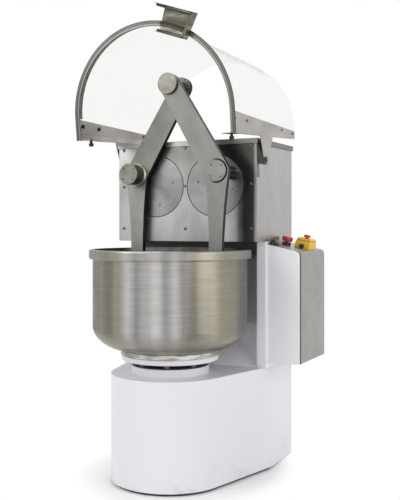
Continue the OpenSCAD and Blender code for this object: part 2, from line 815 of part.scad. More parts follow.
module guard_bow() {
    depth = 28;
    rib_r = hood_r + clear;
    color([0.55, 0.55, 0.55])
    bow_plane() {
        linear_extrude(3) difference() {
            bow_outline(bow_r);
            translate([0, -1]) bow_outline(bow_r - bow_flange);
        }
        translate([0, 0, -depth]) linear_extrude(depth + eps) difference() {
            bow_outline(rib_r + side_t);
            bow_outline(rib_r);
            translate([-bow_r, -1]) square([2 * bow_r, side_plate_h + 3]);
        }
    }
}

// Points of one edge of the hood: arch with straight legs
hood_steps = 48;
function hood_edge(r, leg, foot) = concat(
    [[r, foot]],
    [for (i = [0 : hood_steps]) [r * cos(180 * i / hood_steps), leg + r * sin(180 * i / hood_steps)]],
    [[-r, foot]]);
function on_plane(p, corner, up) = corner + [p[0], 0, 0] + p[1] * up;

// Clear sheet swept from the bow to the rear edge
module guard_hood() {
    gap = clear / norm(sweep);
    foot = 24;
    ring = [for (r = [hood_r, hood_r - hood_t]) concat(
        [for (p = hood_edge(r, bow_leg, foot)) on_plane(p, bow_corner, bow_up) + gap * sweep],
        [for (p = hood_edge(r, rear_leg, foot * 0.7)) on_plane(p, rear_corner, rear_up)])];
    n = hood_steps + 3;
    pts = concat(ring[0], ring[1]);
    function at(r, e, i) = r * 2 * n + e * n + i;
    faces = concat(
        [for (i = [0 : n - 2]) [at(0, 0, i), at(0, 0, i + 1), at(0, 1, i + 1), at(0, 1, i)]],
        [for (i = [0 : n - 2]) [at(1, 0, i + 1), at(1, 0, i), at(1, 1, i), at(1, 1, i + 1)]],
        [for (i = [0 : n - 2]) [at(0, 0, i + 1), at(0, 0, i), at(1, 0, i), at(1, 0, i + 1)]],
        [for (i = [0 : n - 2]) [at(0, 1, i), at(0, 1, i + 1), at(1, 1, i + 1), at(1, 1, i)]],
        [[at(0, 0, 0), at(0, 1, 0), at(1, 1, 0), at(1, 0, 0)]],
        [[at(0, 1, n - 1), at(0, 0, n - 1), at(1, 0, n - 1), at(1, 1, n - 1)]]);
    color([0.85, 0.87, 0.88, 0.4]) polyhedron(pts, faces, convexity = 4);
}

// Side plate outline in Y-Z with its leg down to the hinge
boss_r = 17;
hinge_pin_r = 8;
module side_outline() {
    rear_h = 38;
    round_r = 14;
    bow_dir = [-sin(bow_lean), cos(bow_lean)];
    rear_dir = [sin(rear_lean), cos(rear_lean)];
    c = [bow_corner_y, bow_corner_z];
    e = [guard_rear_y, guard_rear_z];
    dir = (e - c) / norm(e - c);
    leg_a = c + dir * 294;
    leg_b = c + dir * 445;
    boss = [hinge_y, hinge_z];
    difference() {
        union() {
            polygon([c, e - dir * round_r, e, e + rear_dir * (rear_h - round_r),
                     e + rear_dir * rear_h - dir * round_r, c + bow_dir * side_plate_h]);
            translate(e + rear_dir * (rear_h - round_r) - dir * round_r) circle(r = round_r);
            polygon([leg_a + [0, 30], leg_a, boss + [-28, 24], boss + [-boss_r, 0], boss + [12, -12],
                     boss + [36, 14], leg_b, leg_b + [0, 30]]);
            translate(boss) circle(r = boss_r);
        }
        translate(boss) circle(r = hinge_pin_r + fit);
    }
}

bumper_back = 48;
bumper_in = 24;
module guard_side() {
    t = side_t;
    difference() {
        yz_plate(side_x, side_x + t) side_outline();
        at_guard_screws() translate([0, 0, -1]) cylinder(r = guard_screw_r + hole_play, h = t + 2);
    }
    // inward flange under the plate, wide beside the bow and narrow past the head
    translate(bow_corner) rotate([edge_angle, 0, 0]) {
        difference() {
            span([side_x - 50, 4, 0], [side_x + eps, 94, t]);
            translate([side_x - bumper_in, bumper_back, -1]) cylinder(r = 4 + fit, h = t + 2);
        }
        span([body_half_w + lid_proud + 1.5, 4, 0], [side_x + eps, edge_len - 8, t]);
    }
}

module guard_side_right()
    color([0.62, 0.61, 0.6]) guard_side();

module guard_side_left()
    color([0.62, 0.61, 0.6]) mirror([1, 0, 0]) guard_side();

bumper_r = 11;
bumper_taper = 1.5;
bumper_standoff = 11;
module guard_bumpers() {
    color([0.08, 0.08, 0.08])
    both_sides() translate(bow_corner) rotate([edge_angle, 0, 0])
        translate([side_x - bumper_in, bumper_back, 0]) {
            translate([0, 0, -bumper_standoff]) cylinder(r = 6, h = bumper_standoff);
            translate([0, 0, -bumper_l])
                cylinder(r1 = bumper_r - bumper_taper, r2 = bumper_r, h = bumper_l - bumper_standoff + eps);
            translate([0, 0, -eps]) cylinder(r = 4, h = side_t + 8);
            translate([0, 0, side_t]) cylinder(r = 7, h = 5, $fn = 6);
        }
}

// Folded box bracket on the bow that serves as the lifting handle: open to the front and
// to the left, wider at its top, with a lip that reaches out to the left
handle_angle = 19;
handle_shift = 15;
handle_w = 133;
handle_flare = 18;
handle_out = 62;
handle_in = 50;
handle_deep = 40;
handle_lip = 28;
module guard_handle() {
    w = handle_w;
    t = 3;
    h = handle_out + handle_in;
    color([0.6, 0.6, 0.55])
    bow_plane() difference() {
        translate([0, bow_leg]) rotate([0, 0, -handle_angle]) translate([handle_shift - w / 2, bow_r - handle_in]) {
            linear_extrude(t) polygon([[0, 0], [w, 0], [w + handle_flare, h], [0, h]]);
            linear_extrude(handle_deep) {
                square([w, t]);
                translate([-handle_lip, h - t]) square([w + handle_lip + handle_flare, t]);
                polygon([[w - t, 0], [w, 0], [w + handle_flare, h], [w + handle_flare - t, h]]);
            }
        }
        translate([0, 0, -1]) linear_extrude(1 + t + clear) difference() {
            bow_outline(bow_r + clear);
            translate([0, -1]) bow_outline(bow_r - bow_flange - clear);
        }
    }
}

// Screws that hold the hood to its side plates: distance behind the corner and height
guard_screw_places = [[24, 62], [150, 56], [560, 36], [edge_len - 30, 24]];
guard_screw_r = 3;
module at_guard_screws()
    for (s = guard_screw_places)
        translate(bow_corner) rotate([edge_angle, 0, 0]) translate([side_x, s[0], s[1]])
            rotate([0, 90, 0]) children();

module guard_screws() {
    color([0.45, 0.45, 0.45])
    both_sides() at_guard_screws() {
        cylinder(r = guard_screw_r, h = side_t + eps);
        translate([0, 0, side_t]) cylinder(r = 6, h = 2);
        translate([0, 0, side_t + 2 - eps]) cylinder(r1 = 6, r2 = 4, h = 2);
    }
}

// Black blocks on the head's sides, thin behind the front plate and full at the hinge
hinge_block_y = 150;
hinge_block_drop = 20;
module hinge_blocks() {
    x0 = body_half_w + clear;
    x1 = side_x - clear;
    z1 = head_top_z - lid_lip_h - 4;
    color([0.06, 0.06, 0.06])
    both_sides() difference() {
        translate([0, 0, hinge_z - hinge_block_drop]) linear_extrude(z1 - hinge_z + hinge_block_drop)
            polygon([[x0, hinge_block_y], [x0 + 2, hinge_block_y], [x1, hinge_y - boss_r - 8],
                     [x1, hinge_y + 26], [x0, hinge_y + 26]]);
        translate([body_half_w, hinge_y, hinge_z]) rotate([0, 90, 0]) cylinder(r = hinge_pin_r, h = side_gap + 2);
    }
}

// Welded gussets that carry the hinge blocks
module hinge_brackets() {
    z1 = hinge_z - hinge_block_drop;
    color([0.7, 0.7, 0.69])
    both_sides() yz_plate(body_half_w + eps, body_half_w + side_gap - 4)
        polygon([[hinge_block_y + 8, z1], [hinge_block_y + 8, z1 - 58], [hinge_y, z1]]);
}

module hinge_pins() {
    color([0.55, 0.55, 0.55])
    both_sides() translate([body_half_w + 1, hinge_y, hinge_z]) rotate([0, 90, 0]) {
        cylinder(r = hinge_pin_r, h = side_gap + side_t + 2);
        translate([0, 0, side_gap + side_t - 1 + clear]) cylinder(r = 13, h = 5);
    }
}

// Control box

box_x0 = body_half_w + clear;
box_x1 = box_x0 + box_w;
function box_top(x) = box_top_z - (x - box_x0) * tan(box_slope);
module box_outline(inset = 0) {
    r = box_corner_r - inset;
    x1 = box_x1 - inset;
    cx = box_x1 - box_corner_r;
    cz = box_top(cx) - box_corner_r / cos(box_slope);
    polygon([[box_x0, box_bottom_z + inset], [x1, box_bottom_z + inset], [x1, cz],
             [cx + r * sin(box_slope), cz + r * cos(box_slope)], [box_x0, box_top_z - inset / cos(box_slope)]]);
    translate([cx, cz]) circle(r = r);
}

gasket_t = 5;
end_t = 5;
module control_box() {
    t = 3;
    color([0.82, 0.82, 0.85])
    difference() {
        union() {
            xz_plate(box_front_y, box_front_y + end_t) box_outline();
            xz_plate(box_back_y - end_t, box_back_y) box_outline();
            xz_plate(box_front_y + end_t - eps, box_back_y - end_t + eps) box_outline(t + clear);
        }
        xz_plate(box_front_y + t, box_back_y - t) box_outline(2 * t + clear);
        for (p = button_places) on_top(p) translate([0, 0, -40]) cylinder(r = 11, h = 60);
    }
}

module control_gasket() {
    color([0.05, 0.05, 0.05])
    for (y = [box_front_y + end_t, box_back_y - end_t - gasket_t])
        xz_plate(y, y + gasket_t) difference() {
            box_outline(0.6);
            box_outline(3 + clear);
        }
}

module control_cover() {
    t = 3;
    y0 = box_front_y + end_t + gasket_t;
    y1 = box_back_y - end_t - gasket_t;
    color([0.64, 0.64, 0.62])
    difference() {
        xz_plate(y0, y1) difference() {
            box_outline(0);
            box_outline(t);
            translate([box_x0 - 1, box_bottom_z - 1]) square([box_w - 20, 10]);
        }
        for (p = button_places) on_top(p) translate([0, 0, -20]) cylinder(r = 11, h = 40);
    }
}

// Places on the sloped top: X and Y of each control
knob_place = [box_x0 + 17, 284];
start_place = [box_x0 + 19, 332];
stop_place = [box_x0 + 28, 436];
estop_place = [box_x0 + 103, 480];
button_places = [knob_place, start_place, stop_place, estop_place];
module on_top(p)
    translate([p[0], p[1], box_top(p[0])]) rotate([0, box_slope, 0]) children();

module bezel(r, h) {
    difference() {
        union() {
            cylinder(r = r, h = h);
            translate([0, 0, -14]) cylinder(r = 10.8, h = 14 + eps);
        }
        translate([0, 0, -15]) cylinder(r = 8.1, h = h + 16);
    }
}

module button_bezels() {
    color([0.07, 0.07, 0.07]) {
        on_top(knob_place) bezel(14, 5);
        on_top(start_place) bezel(15, 6);
        on_top(stop_place) bezel(20, 12);
        on_top(estop_place) translate([0, -estop_l / 2 - clear, 11]) rotate([90, 0, 0]) {
            cylinder(r = 10.5, h = 6);
            translate([0, 0, 6 - eps]) cylinder(r1 = 9, r2 = 7, h = 9);
        }
    }
}

module speed_knob() {
    color([0.1, 0.1, 0.1])
    on_top(knob_place) {
        translate([0, 0, -10]) cylinder(r = 8, h = 16);
        translate([0, 0, 5.4]) difference() {
            cylinder(r1 = 13, r2 = 12, h = 20);
            for (s = [-1, 1]) translate([s * 11 - 6, -14, 8]) cube([12, 28, 13]);
        }
    }
}

module start_button() {
    color([0.25, 0.55, 0.3])
    on_top(start_place) {
        translate([0, 0, -10]) cylinder(r = 8, h = 20);
        translate([0, 0, 9.5]) cylinder(r = 13, h = 12);
    }
}

module stop_button() {
    color([0.75, 0.1, 0.18])
    on_top(stop_place) {
        translate([0, 0, -10]) cylinder(r = 8, h = 27);
        translate([0, 0, 16.5]) cylinder(r1 = 18, r2 = 21, h = 6);
        translate([0, 0, 22.5 - eps]) cylinder(r = 21, h = 18);
        translate([0, 0, 40.5 - 2 * eps]) cylinder(r1 = 21, r2 = 17, h = 4);
    }
}

// Yellow emergency-stop housing with a black cable entry in front
estop_l = 100;
estop_w = 70;
estop_h = 46;
module estop_base() {
    color([0.93, 0.75, 0.1])
    on_top(estop_place) difference() {
        union() {
            hull() {
                translate([-estop_w / 2, -estop_l / 2, 0]) cube([estop_w, estop_l, 22]);
                translate([-estop_w / 2 + 6, -estop_l / 2 + 10, 0]) cube([estop_w - 12, estop_l - 18, estop_h]);
            }
            translate([0, 0, -14]) cylinder(r = 10.8, h = 14 + eps);
        }
        translate([0, 0, -15]) cylinder(r = 8.1, h = 70);
    }
}

module estop_mushroom() {
    color([0.75, 0.08, 0.1])
    on_top(estop_place) {
        translate([0, 0, -10]) cylinder(r = 8, h = 62);
        translate([0, 0, estop_h + 5]) cylinder(r = 20, h = 5);
        translate([0, 0, estop_h + 10 - eps]) cylinder(r1 = 13, r2 = 11, h = 14);
    }
}

gland_x = -body_half_w + 90;
gland_z = base_top_z + 60;
gland_r = 11;
module cable_gland() {
    color([0.07, 0.07, 0.07])
    difference() {
        union() {
            y_cyl(18, base_back_y, base_back_y + 10, gland_x, gland_z);
            y_cone(15, 12, base_back_y + 10 - eps, base_back_y + 26, gland_x, gland_z);
            y_cyl(gland_r, base_back_y - skin_t - 8, base_back_y + eps, gland_x, gland_z);
        }
        y_cyl(6, base_back_y - skin_t - 9, base_back_y + 27, gland_x, gland_z);
    }
}

base_plate();
base_cabinet();
column_side_left();
column_side_right();
column_recess();
column_rear_cover();
head_housing();
front_plate();
front_plate_screws();
head_lid();
head_rear_cover();
rear_cover_screws();
bearing_plate_front();
bearing_plate_rear();
reducer_case();
drive_motor();
spindle_housing();
bowl_reducer();
bowl_motor();
control_box();
control_gasket();
control_cover();
estop_base();
button_bezels();
hinge_blocks();
hinge_brackets();
cable_gland();
disc_right();
crank_pin_right();
gear_right();
disc_left();
crank_pin_left();
gear_left();
arm_right();
elbow_bush_right();
elbow_cap_right();
fork_tool();
apex_pin_front();
arm_left();
elbow_bush_left();
elbow_cap_left();
paddle_tool();
apex_pin_rear();
bowl();
bowl_collar();
turntable_disc();
turntable_spacers();
bowl_spindle();
guard_bow();
guard_side_left();
guard_side_right();
guard_hood();
guard_handle();
guard_bumpers();
guard_screws();
hinge_pins();
estop_mushroom();
start_button();
stop_button();
speed_knob();
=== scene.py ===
"""Looks of the twin-arm dough mixer: materials, small modelled pieces, light and camera.

Lengths and places are in metres of the row frame. A tone is a linear red, green and blue that a colour is
multiplied by, so that 1.0 leaves it as it is."""

import math

import bpy
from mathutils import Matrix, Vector


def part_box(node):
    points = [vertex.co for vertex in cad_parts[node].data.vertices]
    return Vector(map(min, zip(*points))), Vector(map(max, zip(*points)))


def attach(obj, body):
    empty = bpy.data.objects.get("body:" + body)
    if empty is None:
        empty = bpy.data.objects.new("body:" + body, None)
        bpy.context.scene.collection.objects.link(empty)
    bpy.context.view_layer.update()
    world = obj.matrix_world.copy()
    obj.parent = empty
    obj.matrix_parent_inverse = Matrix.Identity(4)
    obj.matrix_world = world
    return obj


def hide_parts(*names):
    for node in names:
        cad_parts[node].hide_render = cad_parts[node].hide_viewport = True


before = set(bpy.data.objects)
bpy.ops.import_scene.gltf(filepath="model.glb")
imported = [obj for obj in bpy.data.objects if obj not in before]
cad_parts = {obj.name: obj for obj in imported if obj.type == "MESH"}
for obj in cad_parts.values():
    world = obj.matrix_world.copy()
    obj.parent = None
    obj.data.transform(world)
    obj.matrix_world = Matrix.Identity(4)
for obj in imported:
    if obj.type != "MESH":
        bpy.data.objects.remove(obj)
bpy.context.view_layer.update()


# Places, directions and colours


def middle(node):
    """The middle of a carried-over node's box."""
    low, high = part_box(node)
    return tuple((low + high) / 2)


def linear(red, green, blue):
    """A colour as a picture shows it, 0 to 255, as the linear colour that a shader takes."""
    shares = [value / 255 for value in (red, green, blue)]
    return tuple(s / 12.92 if s < 0.04045 else ((s + 0.055) / 1.055) ** 2.4 for s in shares) + (1.0,)


def shade(colour, factor):
    """A colour made darker or lighter."""
    return tuple(value * factor for value in colour[:3]) + (1.0,)


def tint(red, green, blue):
    return (red, green, blue, 1.0)


def grey(level):
    return tint(level, level, level)


WHITE = grey(1.0)

ORIGIN = (0.0, 0.0, 0.0)
RIGHT = (1.0, 0.0, 0.0)
FRONT = (0.0, -1.0, 0.0)
BACK = (0.0, 1.0, 0.0)
UP = (0.0, 0.0, 1.0)
WITHOUT_Y = (1.0, 0.0, 1.0)
WITHOUT_Z = (1.0, 1.0, 0.0)

CAMERA_PLACE = (1.713, -3.215, 1.104)
CAMERA_YAW = math.radians(26.09)
CAMERA_RIGHT = (math.cos(CAMERA_YAW), math.sin(CAMERA_YAW), 0.0)

# The control box's sloping top
BOX_SLOPE = math.radians(12.0)
BOX_UP = (math.sin(BOX_SLOPE), 0.0, math.cos(BOX_SLOPE))

# The guard's front bow, which leans forward, and the right cheek of the handle on it
BOW_CENTRE = (0.0, -0.1665, 1.5683)
BOW_LEAN = math.radians(6.8)
BOW_UP = (0.0, -math.sin(BOW_LEAN), math.cos(BOW_LEAN))
BOW_AHEAD = (0.0, -math.cos(BOW_LEAN), -math.sin(BOW_LEAN))
HANDLE_LOW, HANDLE_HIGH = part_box("guard_handle")
HANDLE_CHEEK_X = 0.196


# Node graphs


class Nodes:
    """The nodes of a material or a world. Each input is fed by another node's output or by a constant."""

    def __init__(self, owner):
        owner.use_nodes = True
        self.tree = owner.node_tree
        self.tree.nodes.clear()

    def node(self, kind, inputs=None, **settings):
        made = self.tree.nodes.new(kind)
        for key, value in settings.items():
            setattr(made, key, value)
        for key, value in (inputs or {}).items():
            self.feed(made.inputs[key], value)
        return made

    def feed(self, socket, value):
        if isinstance(value, bpy.types.NodeSocket):
            self.tree.links.new(value, socket)
        else:
            socket.default_value = value

    def maths(self, operation, a, b=0.0):
        return self.node("ShaderNodeMath", {0: a, 1: b}, operation=operation).outputs[0]

    def product(self, a, b):
        return self.maths("MULTIPLY", a, b)

    def total(self, a, b):
        return self.maths("ADD", a, b)

    def seen(self):
        """1 on rays that show what they meet, straight or by metal or clear sheet, and 0 on light's rays."""
        rays = self.node("ShaderNodeLightPath").outputs
        share = rays["Is Camera Ray"]
        for name in ("Is Glossy Ray", "Is Transmission Ray"):
            share = self.maths("MAXIMUM", share, rays[name])
        return share

    def blend(self, share, first, second):
        """A shader that turns from the first to the second by a share."""
        return self.node("ShaderNodeMixShader", {0: share, 1: first.outputs[0], 2: second.outputs[0]})

    def show(self, shader, output_kind="ShaderNodeOutputMaterial"):
        self.node(output_kind, {"Surface": shader.outputs[0]})


class Graph(Nodes):
    """One material's nodes, with the place and the facing of the point that is shaded."""

    def __init__(self, name):
        self.material = bpy.data.materials.new(name)
        super().__init__(self.material)
        where = self.node("ShaderNodeTexCoord").outputs
        self.place = where["Object"]
        self.facing = where["Normal"]

    def vector_node(self, operation, a, b=None):
        inputs = {0: a} if b is None else {0: a, 1: b}
        return self.node("ShaderNodeVectorMath", inputs, operation=operation)

    def vector(self, operation, a, b=None):
        """A vector worked out from one or two others."""
        return self.vector_node(operation, a, b).outputs[0]

    def measure(self, operation, a, b=None):
        """A number worked out from one or two vectors."""
        return self.vector_node(operation, a, b).outputs["Value"]

    def offset(self, centre):
        return self.vector("SUBTRACT", self.place, centre)

    def axis(self, name, of=None):
        """The x, y or z of the point's place, or of another vector."""
        return self.node("ShaderNodeSeparateXYZ", {0: of or self.place}).outputs[name]

    def noise(self, per_metre, place=None, detail=3.0, rough=0.55, shift=0.0):
        """Noise from 0 to 1 with so many cells a metre, one count or one for each of x, y and z."""
        cells = per_metre if isinstance(per_metre, tuple) else (per_metre,) * 3
        scaled = self.vector("MULTIPLY", place or self.place, cells)
        moved = self.vector("ADD", scaled, (shift,) * 3)
        inputs = {"Vector": moved, "Scale": 1.0, "Detail": detail, "Roughness": rough}
        return self.node("ShaderNodeTexNoise", inputs).outputs["Fac"]

    def spread(self, value, low, high, start=0.0, end=1.0):
        """value from low to high, turned smoothly into start to end."""
        inputs = {"Value": value, "From Min": low, "From Max": high, "To Min": start, "To Max": end}
        return self.node("ShaderNodeMapRange", inputs, interpolation_type="SMOOTHSTEP").outputs[0]

    def colours(self, share, a, b, blend_type):
        made = self.node("ShaderNodeMix", data_type="RGBA", blend_type=blend_type)
        for socket, value in zip((made.inputs[0], made.inputs[6], made.inputs[7]), (share, a, b)):
            self.feed(socket, value)
        return made.outputs[2]

    def mix(self, share, a, b):
        return self.colours(share, a, b, "MIX")

    def times(self, a, b, share=1.0):
        """Two colours multiplied, by a share of the second."""
        return self.colours(share, a, b, "MULTIPLY")

    def between(self, value, first, second, low=0.3, high=0.7):
        """The first colour where value is at low, turning smoothly into the second at high."""
        return self.mix(self.spread(value, low, high), first, second)

    def vary(self, colour, value, first, second, low=0.3, high=0.7):
        """A colour multiplied by the first tone where value is at low, and by the second at high."""
        return self.times(colour, self.between(value, first, second, low, high))

    def bands(self, value, stops):
        """A soft row of tones along value, from (place, tone) pairs. Beyond the ends their tones go on."""
        low, high = stops[0][0], stops[-1][0]
        ends = {"Value": value, "From Min": low, "From Max": high}
        made = self.node("ShaderNodeValToRGB", {0: self.node("ShaderNodeMapRange", ends).outputs[0]})
        made.color_ramp.interpolation = "EASE"
        points = made.color_ramp.elements
        while len(points) < len(stops):
            points.new(0.5)
        for point, (place, tone) in zip(points, stops):
            point.position = (place - low) / (high - low)
            point.color = tint(*tone)
        return made.outputs[0]

    def about(self, centre, normal, around, outward):
        """A place for patterns turned round an axis: slow around it, quick outward and along."""
        flat = tuple(1.0 - abs(n) for n in normal)
        offset = self.offset(centre)
        radial = self.vector("MULTIPLY", offset, flat)
        radius = self.measure("LENGTH", radial)
        height = self.measure("DOT_PRODUCT", offset, normal)
        slow = self.vector("MULTIPLY", self.vector("NORMALIZE", radial), (around,) * 3)
        quick = self.vector_node("SCALE", normal)
        self.feed(quick.inputs["Scale"], self.product(self.total(radius, height), outward))
        return self.vector("ADD", slow, quick.outputs[0])

    def round_noise(self, direction, around, up, detail, shift):
        """Noise on a round wall whose outward direction is given, as quick around it and up it as asked."""
        place = self.vector("ADD", self.vector("MULTIPLY", direction, (around, around, 0.0)),
                            self.vector("MULTIPLY", self.place, (0.0, 0.0, up)))
        return self.noise(1.0, place, detail=detail, rough=0.6, shift=shift)

    def bump(self, height, depth, below=None):
        """A bump of that many metres for height from 0 to 1, over another normal."""
        made = self.node("ShaderNodeBump", {"Height": height, "Distance": depth, "Strength": 1.0})
        if below is not None:
            self.feed(made.inputs["Normal"], below)
        return made.outputs[0]

    def edges(self, radius):
        """The softened normal, and a share from 0 on flat faces to 1 along outer and inner edges."""
        flat, bent = 0.995, 0.93
        soft = self.node("ShaderNodeBevel", {"Radius": radius}, samples=4).outputs[0]
        true = self.node("ShaderNodeNewGeometry").outputs["Normal"]
        return soft, self.spread(self.measure("DOT_PRODUCT", soft, true), flat, bent)

    def finish(self, colour, roughness, normal=None, **constants):
        """Ends the graph in one Principled shader. Constants are set on its own sockets."""
        shader = self.node("ShaderNodeBsdfPrincipled", {"Base Color": colour, "Roughness": roughness})
        if normal is not None:
            self.feed(shader.inputs["Normal"], normal)
        for key, value in constants.items():
            shader.inputs[key.replace("_", " ")].default_value = value
        self.show(shader)
        return self.material


# Kinds of material


ALONG_X = (9.0, 900.0, 900.0)
ALONG_Y = (900.0, 9.0, 900.0)
ALONG_Z = (900.0, 900.0, 9.0)


def paint(name, colour, roughness=0.38):
    """Powder coat: orange peel, slow tone changes, a little dust low down and chipped edges."""
    dust_top, edge_radius = 0.16, 0.003
    peel_depth, wave_depth = 0.00003, 0.00012
    graph = Graph(name)
    slow = graph.noise((1.4, 1.4, 1.0), detail=2.0)
    clean = graph.between(slow, shade(colour, 0.965), shade(colour, 1.02))
    low = graph.spread(graph.axis("Z"), dust_top, 0.0)
    scuff = graph.spread(graph.noise((9.0, 9.0, 14.0), detail=5.0, shift=4.0), 0.5, 0.75)
    dusty = graph.mix(graph.product(low, scuff), clean, shade(colour, 0.86))
    soft, edge = graph.edges(edge_radius)
    chipped = graph.spread(graph.noise(60.0, detail=5.0, shift=8.0), 0.5, 0.7)
    worn = graph.mix(graph.product(edge, chipped), dusty, shade(colour, 0.88))
    cloud = graph.noise(5.0, detail=4.0, shift=2.0)
    rough = graph.spread(cloud, 0.2, 0.8, roughness - 0.05, roughness + 0.06)
    wave = graph.bump(graph.noise(26.0, detail=1.0, shift=9.0), wave_depth, soft)
    peel = graph.bump(graph.noise(420.0, detail=1.0), peel_depth, wave)
    return graph.finish(worn, rough, peel, Specular_IOR_Level=0.45)


def brushed(name, colour, grain, roughness=0.34, stain=0.1, slow=(2.2, 2.2, 1.6), lathe=None, shift=0.0,
            lines_depth=0.1, zones=None):
    """Ground or brushed metal: fine lines along one way, slow blurry tones and rubbed edges.
    grain and slow are the cells a metre of the lines and of the blurry tones. lathe is (centre, normal)
    for lines round an axis, and grain is then one count. zones(graph, tone) may lay larger tones over it."""
    edge_radius, line_depth = 0.0012, 0.00002
    graph = Graph(name)
    place = None
    if lathe:
        place = graph.about(lathe[0], lathe[1], around=2.2, outward=grain)
        grain = 1.0
    lines = graph.noise(grain, place, detail=6.0, rough=0.7, shift=shift)
    blur = graph.noise(slow, detail=2.0, rough=0.5, shift=shift + 3.0)
    mottle = graph.noise(14.0, detail=4.0, shift=shift + 7.0)
    tone = graph.between(blur, shade(colour, 1 - stain), shade(colour, 1 + stain * 0.7), 0.32, 0.68)
    tone = graph.vary(tone, lines, grey(1.0 - lines_depth), grey(1.0 + 0.8 * lines_depth))
    if zones:
        tone = zones(graph, tone)
    soft, edge = graph.edges(edge_radius)
    rubbed = graph.product(edge, graph.spread(mottle, 0.35, 0.6))
    tone = graph.times(tone, grey(1.3), rubbed)
    fine = graph.spread(lines, 0.25, 0.75, roughness - 0.06, roughness + 0.06)
    rough = graph.total(fine, graph.spread(mottle, 0.35, 0.7, 0.0, 0.08))
    return graph.finish(tone, rough, graph.bump(lines, line_depth, soft), Metallic=1.0)


def moulded(name, colour, roughness=0.4, grain_depth=0.00002):
    """Moulded plastic or rubber: fine spark texture and slow tone changes."""
    graph = Graph(name)
    tone = graph.between(graph.noise(30.0), shade(colour, 0.92), shade(colour, 1.06))
    rough = graph.spread(graph.noise(60.0, shift=5.0), 0.3, 0.7, roughness - 0.05, roughness + 0.08)
    return graph.finish(tone, rough, graph.bump(graph.noise(1400.0, detail=2.0), grain_depth))


def coated(name, colour):
    """Cast or motor housing paint: coarse skin over a cast surface."""
    skin_depth = 0.0002
    graph = Graph(name)
    skin = graph.noise(160.0, detail=4.0)
    tone = graph.between(graph.noise(6.0), shade(colour, 0.88), shade(colour, 1.08))
    return graph.finish(tone, graph.spread(skin, 0.3, 0.7, 0.45, 0.6), graph.bump(skin, skin_depth))


# Larger tone changes of single parts: mostly painted light, shade and reflections, with some stains and wear


def painted_socket_shade(graph, tone, centre):
    """Painted shade in the sockets of a cap's four screws."""
    circle_radius, socket_radius, soft_radius = 0.0335, 0.0026, 0.0042
    flat = graph.vector("MULTIPLY", graph.place, WITHOUT_Y)
    for turn in (40, 130, 220, 310):
        angle = math.radians(turn)
        at = (centre[0] + circle_radius * math.cos(angle), 0.0, centre[2] + circle_radius * math.sin(angle))
        near = graph.spread(graph.measure("DISTANCE", flat, at), soft_radius, socket_radius)
        tone = graph.times(tone, tint(0.3, 0.3, 0.28), near)
    return tone


def painted_cap_shadow(graph, tone, centre):
    """Painted shadow of a cap that sits a little proud of its arm: a dark ring round its right half."""
    radius, dark_half, soft_half = 0.0487, 0.002, 0.0042
    slant, fade_x, fade_end_x = -0.12, -0.03, 0.0
    offset = graph.offset(centre)
    out = graph.measure("LENGTH", graph.vector("MULTIPLY", offset, WITHOUT_Y))
    near = graph.spread(graph.maths("ABSOLUTE", graph.maths("SUBTRACT", out, radius)), soft_half, dark_half)
    side = graph.total(graph.axis("X", offset), graph.product(graph.axis("Z", offset), slant))
    return graph.times(tone, grey(0.06), graph.product(near, graph.spread(side, fade_x, fade_end_x)))


ARM_PAINTED_SHADE_BY_HEIGHT = (
    (0.92, (1.04, 1.04, 1.04)),
    (1.25, (1.0, 1.0, 1.0)),
    (1.5, (0.78, 0.78, 0.77)),
    (1.7, (0.72, 0.72, 0.71)),
)


def arm_tones(side_shade, cap_centre=None):
    """An arm with painted shade: faces that don't look to the front or back are darker, and so is its upper
    end.
    cap_centre is the middle of a cap that sits in the arm."""
    def zones(graph, tone):
        # Painted shade: side faces darker, and the arm darker towards its upper end.
        sideways = graph.maths("SUBTRACT", 1.0, graph.maths("ABSOLUTE", graph.axis("Y", graph.facing)))
        tone = graph.vary(tone, sideways, WHITE, shade((1.0, 1.0, 0.96), side_shade), 0.3, 0.8)
        tone = graph.times(tone, graph.bands(graph.axis("Z"), ARM_PAINTED_SHADE_BY_HEIGHT))
        if cap_centre is None:
            return tone
        return painted_cap_shadow(graph, painted_socket_shade(graph, tone, cap_centre), cap_centre)
    return zones


def cap_tones(graph, tone):
    """An elbow's long cap: stained face, painted shade on its underside, and a pale ring at the arm that is a
    painted highlight.
    """
    ring_y, ring_end_y = 0.0855, 0.0865
    left_x, left_end_x = -0.1, -0.15
    # Painted shade on faces that look down.
    tone = graph.vary(tone, graph.axis("Z", graph.facing), tint(0.42, 0.42, 0.4), WHITE, -0.8, 0.6)
    stain = graph.noise(30.0, detail=4.0, rough=0.65, shift=8.0)
    stained = graph.vary(tone, stain, WHITE, tint(0.8, 0.74, 0.66), 0.4, 0.7)
    # Painted highlight: a pale ring round the left cap's foot.
    left_arm = graph.spread(graph.axis("X"), left_x, left_end_x)
    ring = graph.product(graph.spread(graph.axis("Y"), ring_y, ring_end_y), left_arm)
    stained = graph.mix(ring, stained, linear(176, 173, 162))
    return painted_socket_shade(graph, stained, middle("elbow_bush_left"))


PIN_PAINTED_LIGHT_BY_FACING = (
    (-0.9, (0.1, 0.1, 0.1)),
    (-0.45, (0.5, 0.5, 0.49)),
    (-0.1, (0.12, 0.12, 0.12)),
    (0.25, (1.7, 1.7, 1.68)),
    (0.5, (0.5, 0.5, 0.5)),
    (0.9, (1.5, 1.5, 1.48)),
)


def pin_painted_light(graph, tone):
    """A polished round with painted highlights above and painted shade below."""
    return graph.times(tone, graph.bands(graph.axis("Z", graph.facing), PIN_PAINTED_LIGHT_BY_FACING))


PLATE_REFLECTION_BY_HEIGHT = (
    (1.04, (1.2, 1.2, 1.2)),
    (1.14, (1.12, 1.12, 1.11)),
    (1.3, (0.9, 0.9, 0.88)),
    (1.46, (0.54, 0.54, 0.52)),
)
PLATE_REFLECTION_BY_SIDE = (
    (0.245, (1.0, 1.0, 1.0)),
    (0.272, (0.4, 0.4, 0.39)),
    (0.29, (0.17, 0.17, 0.165)),
    (0.33, (0.2, 0.2, 0.19)),
    (0.38, (0.34, 0.34, 0.32)),
)


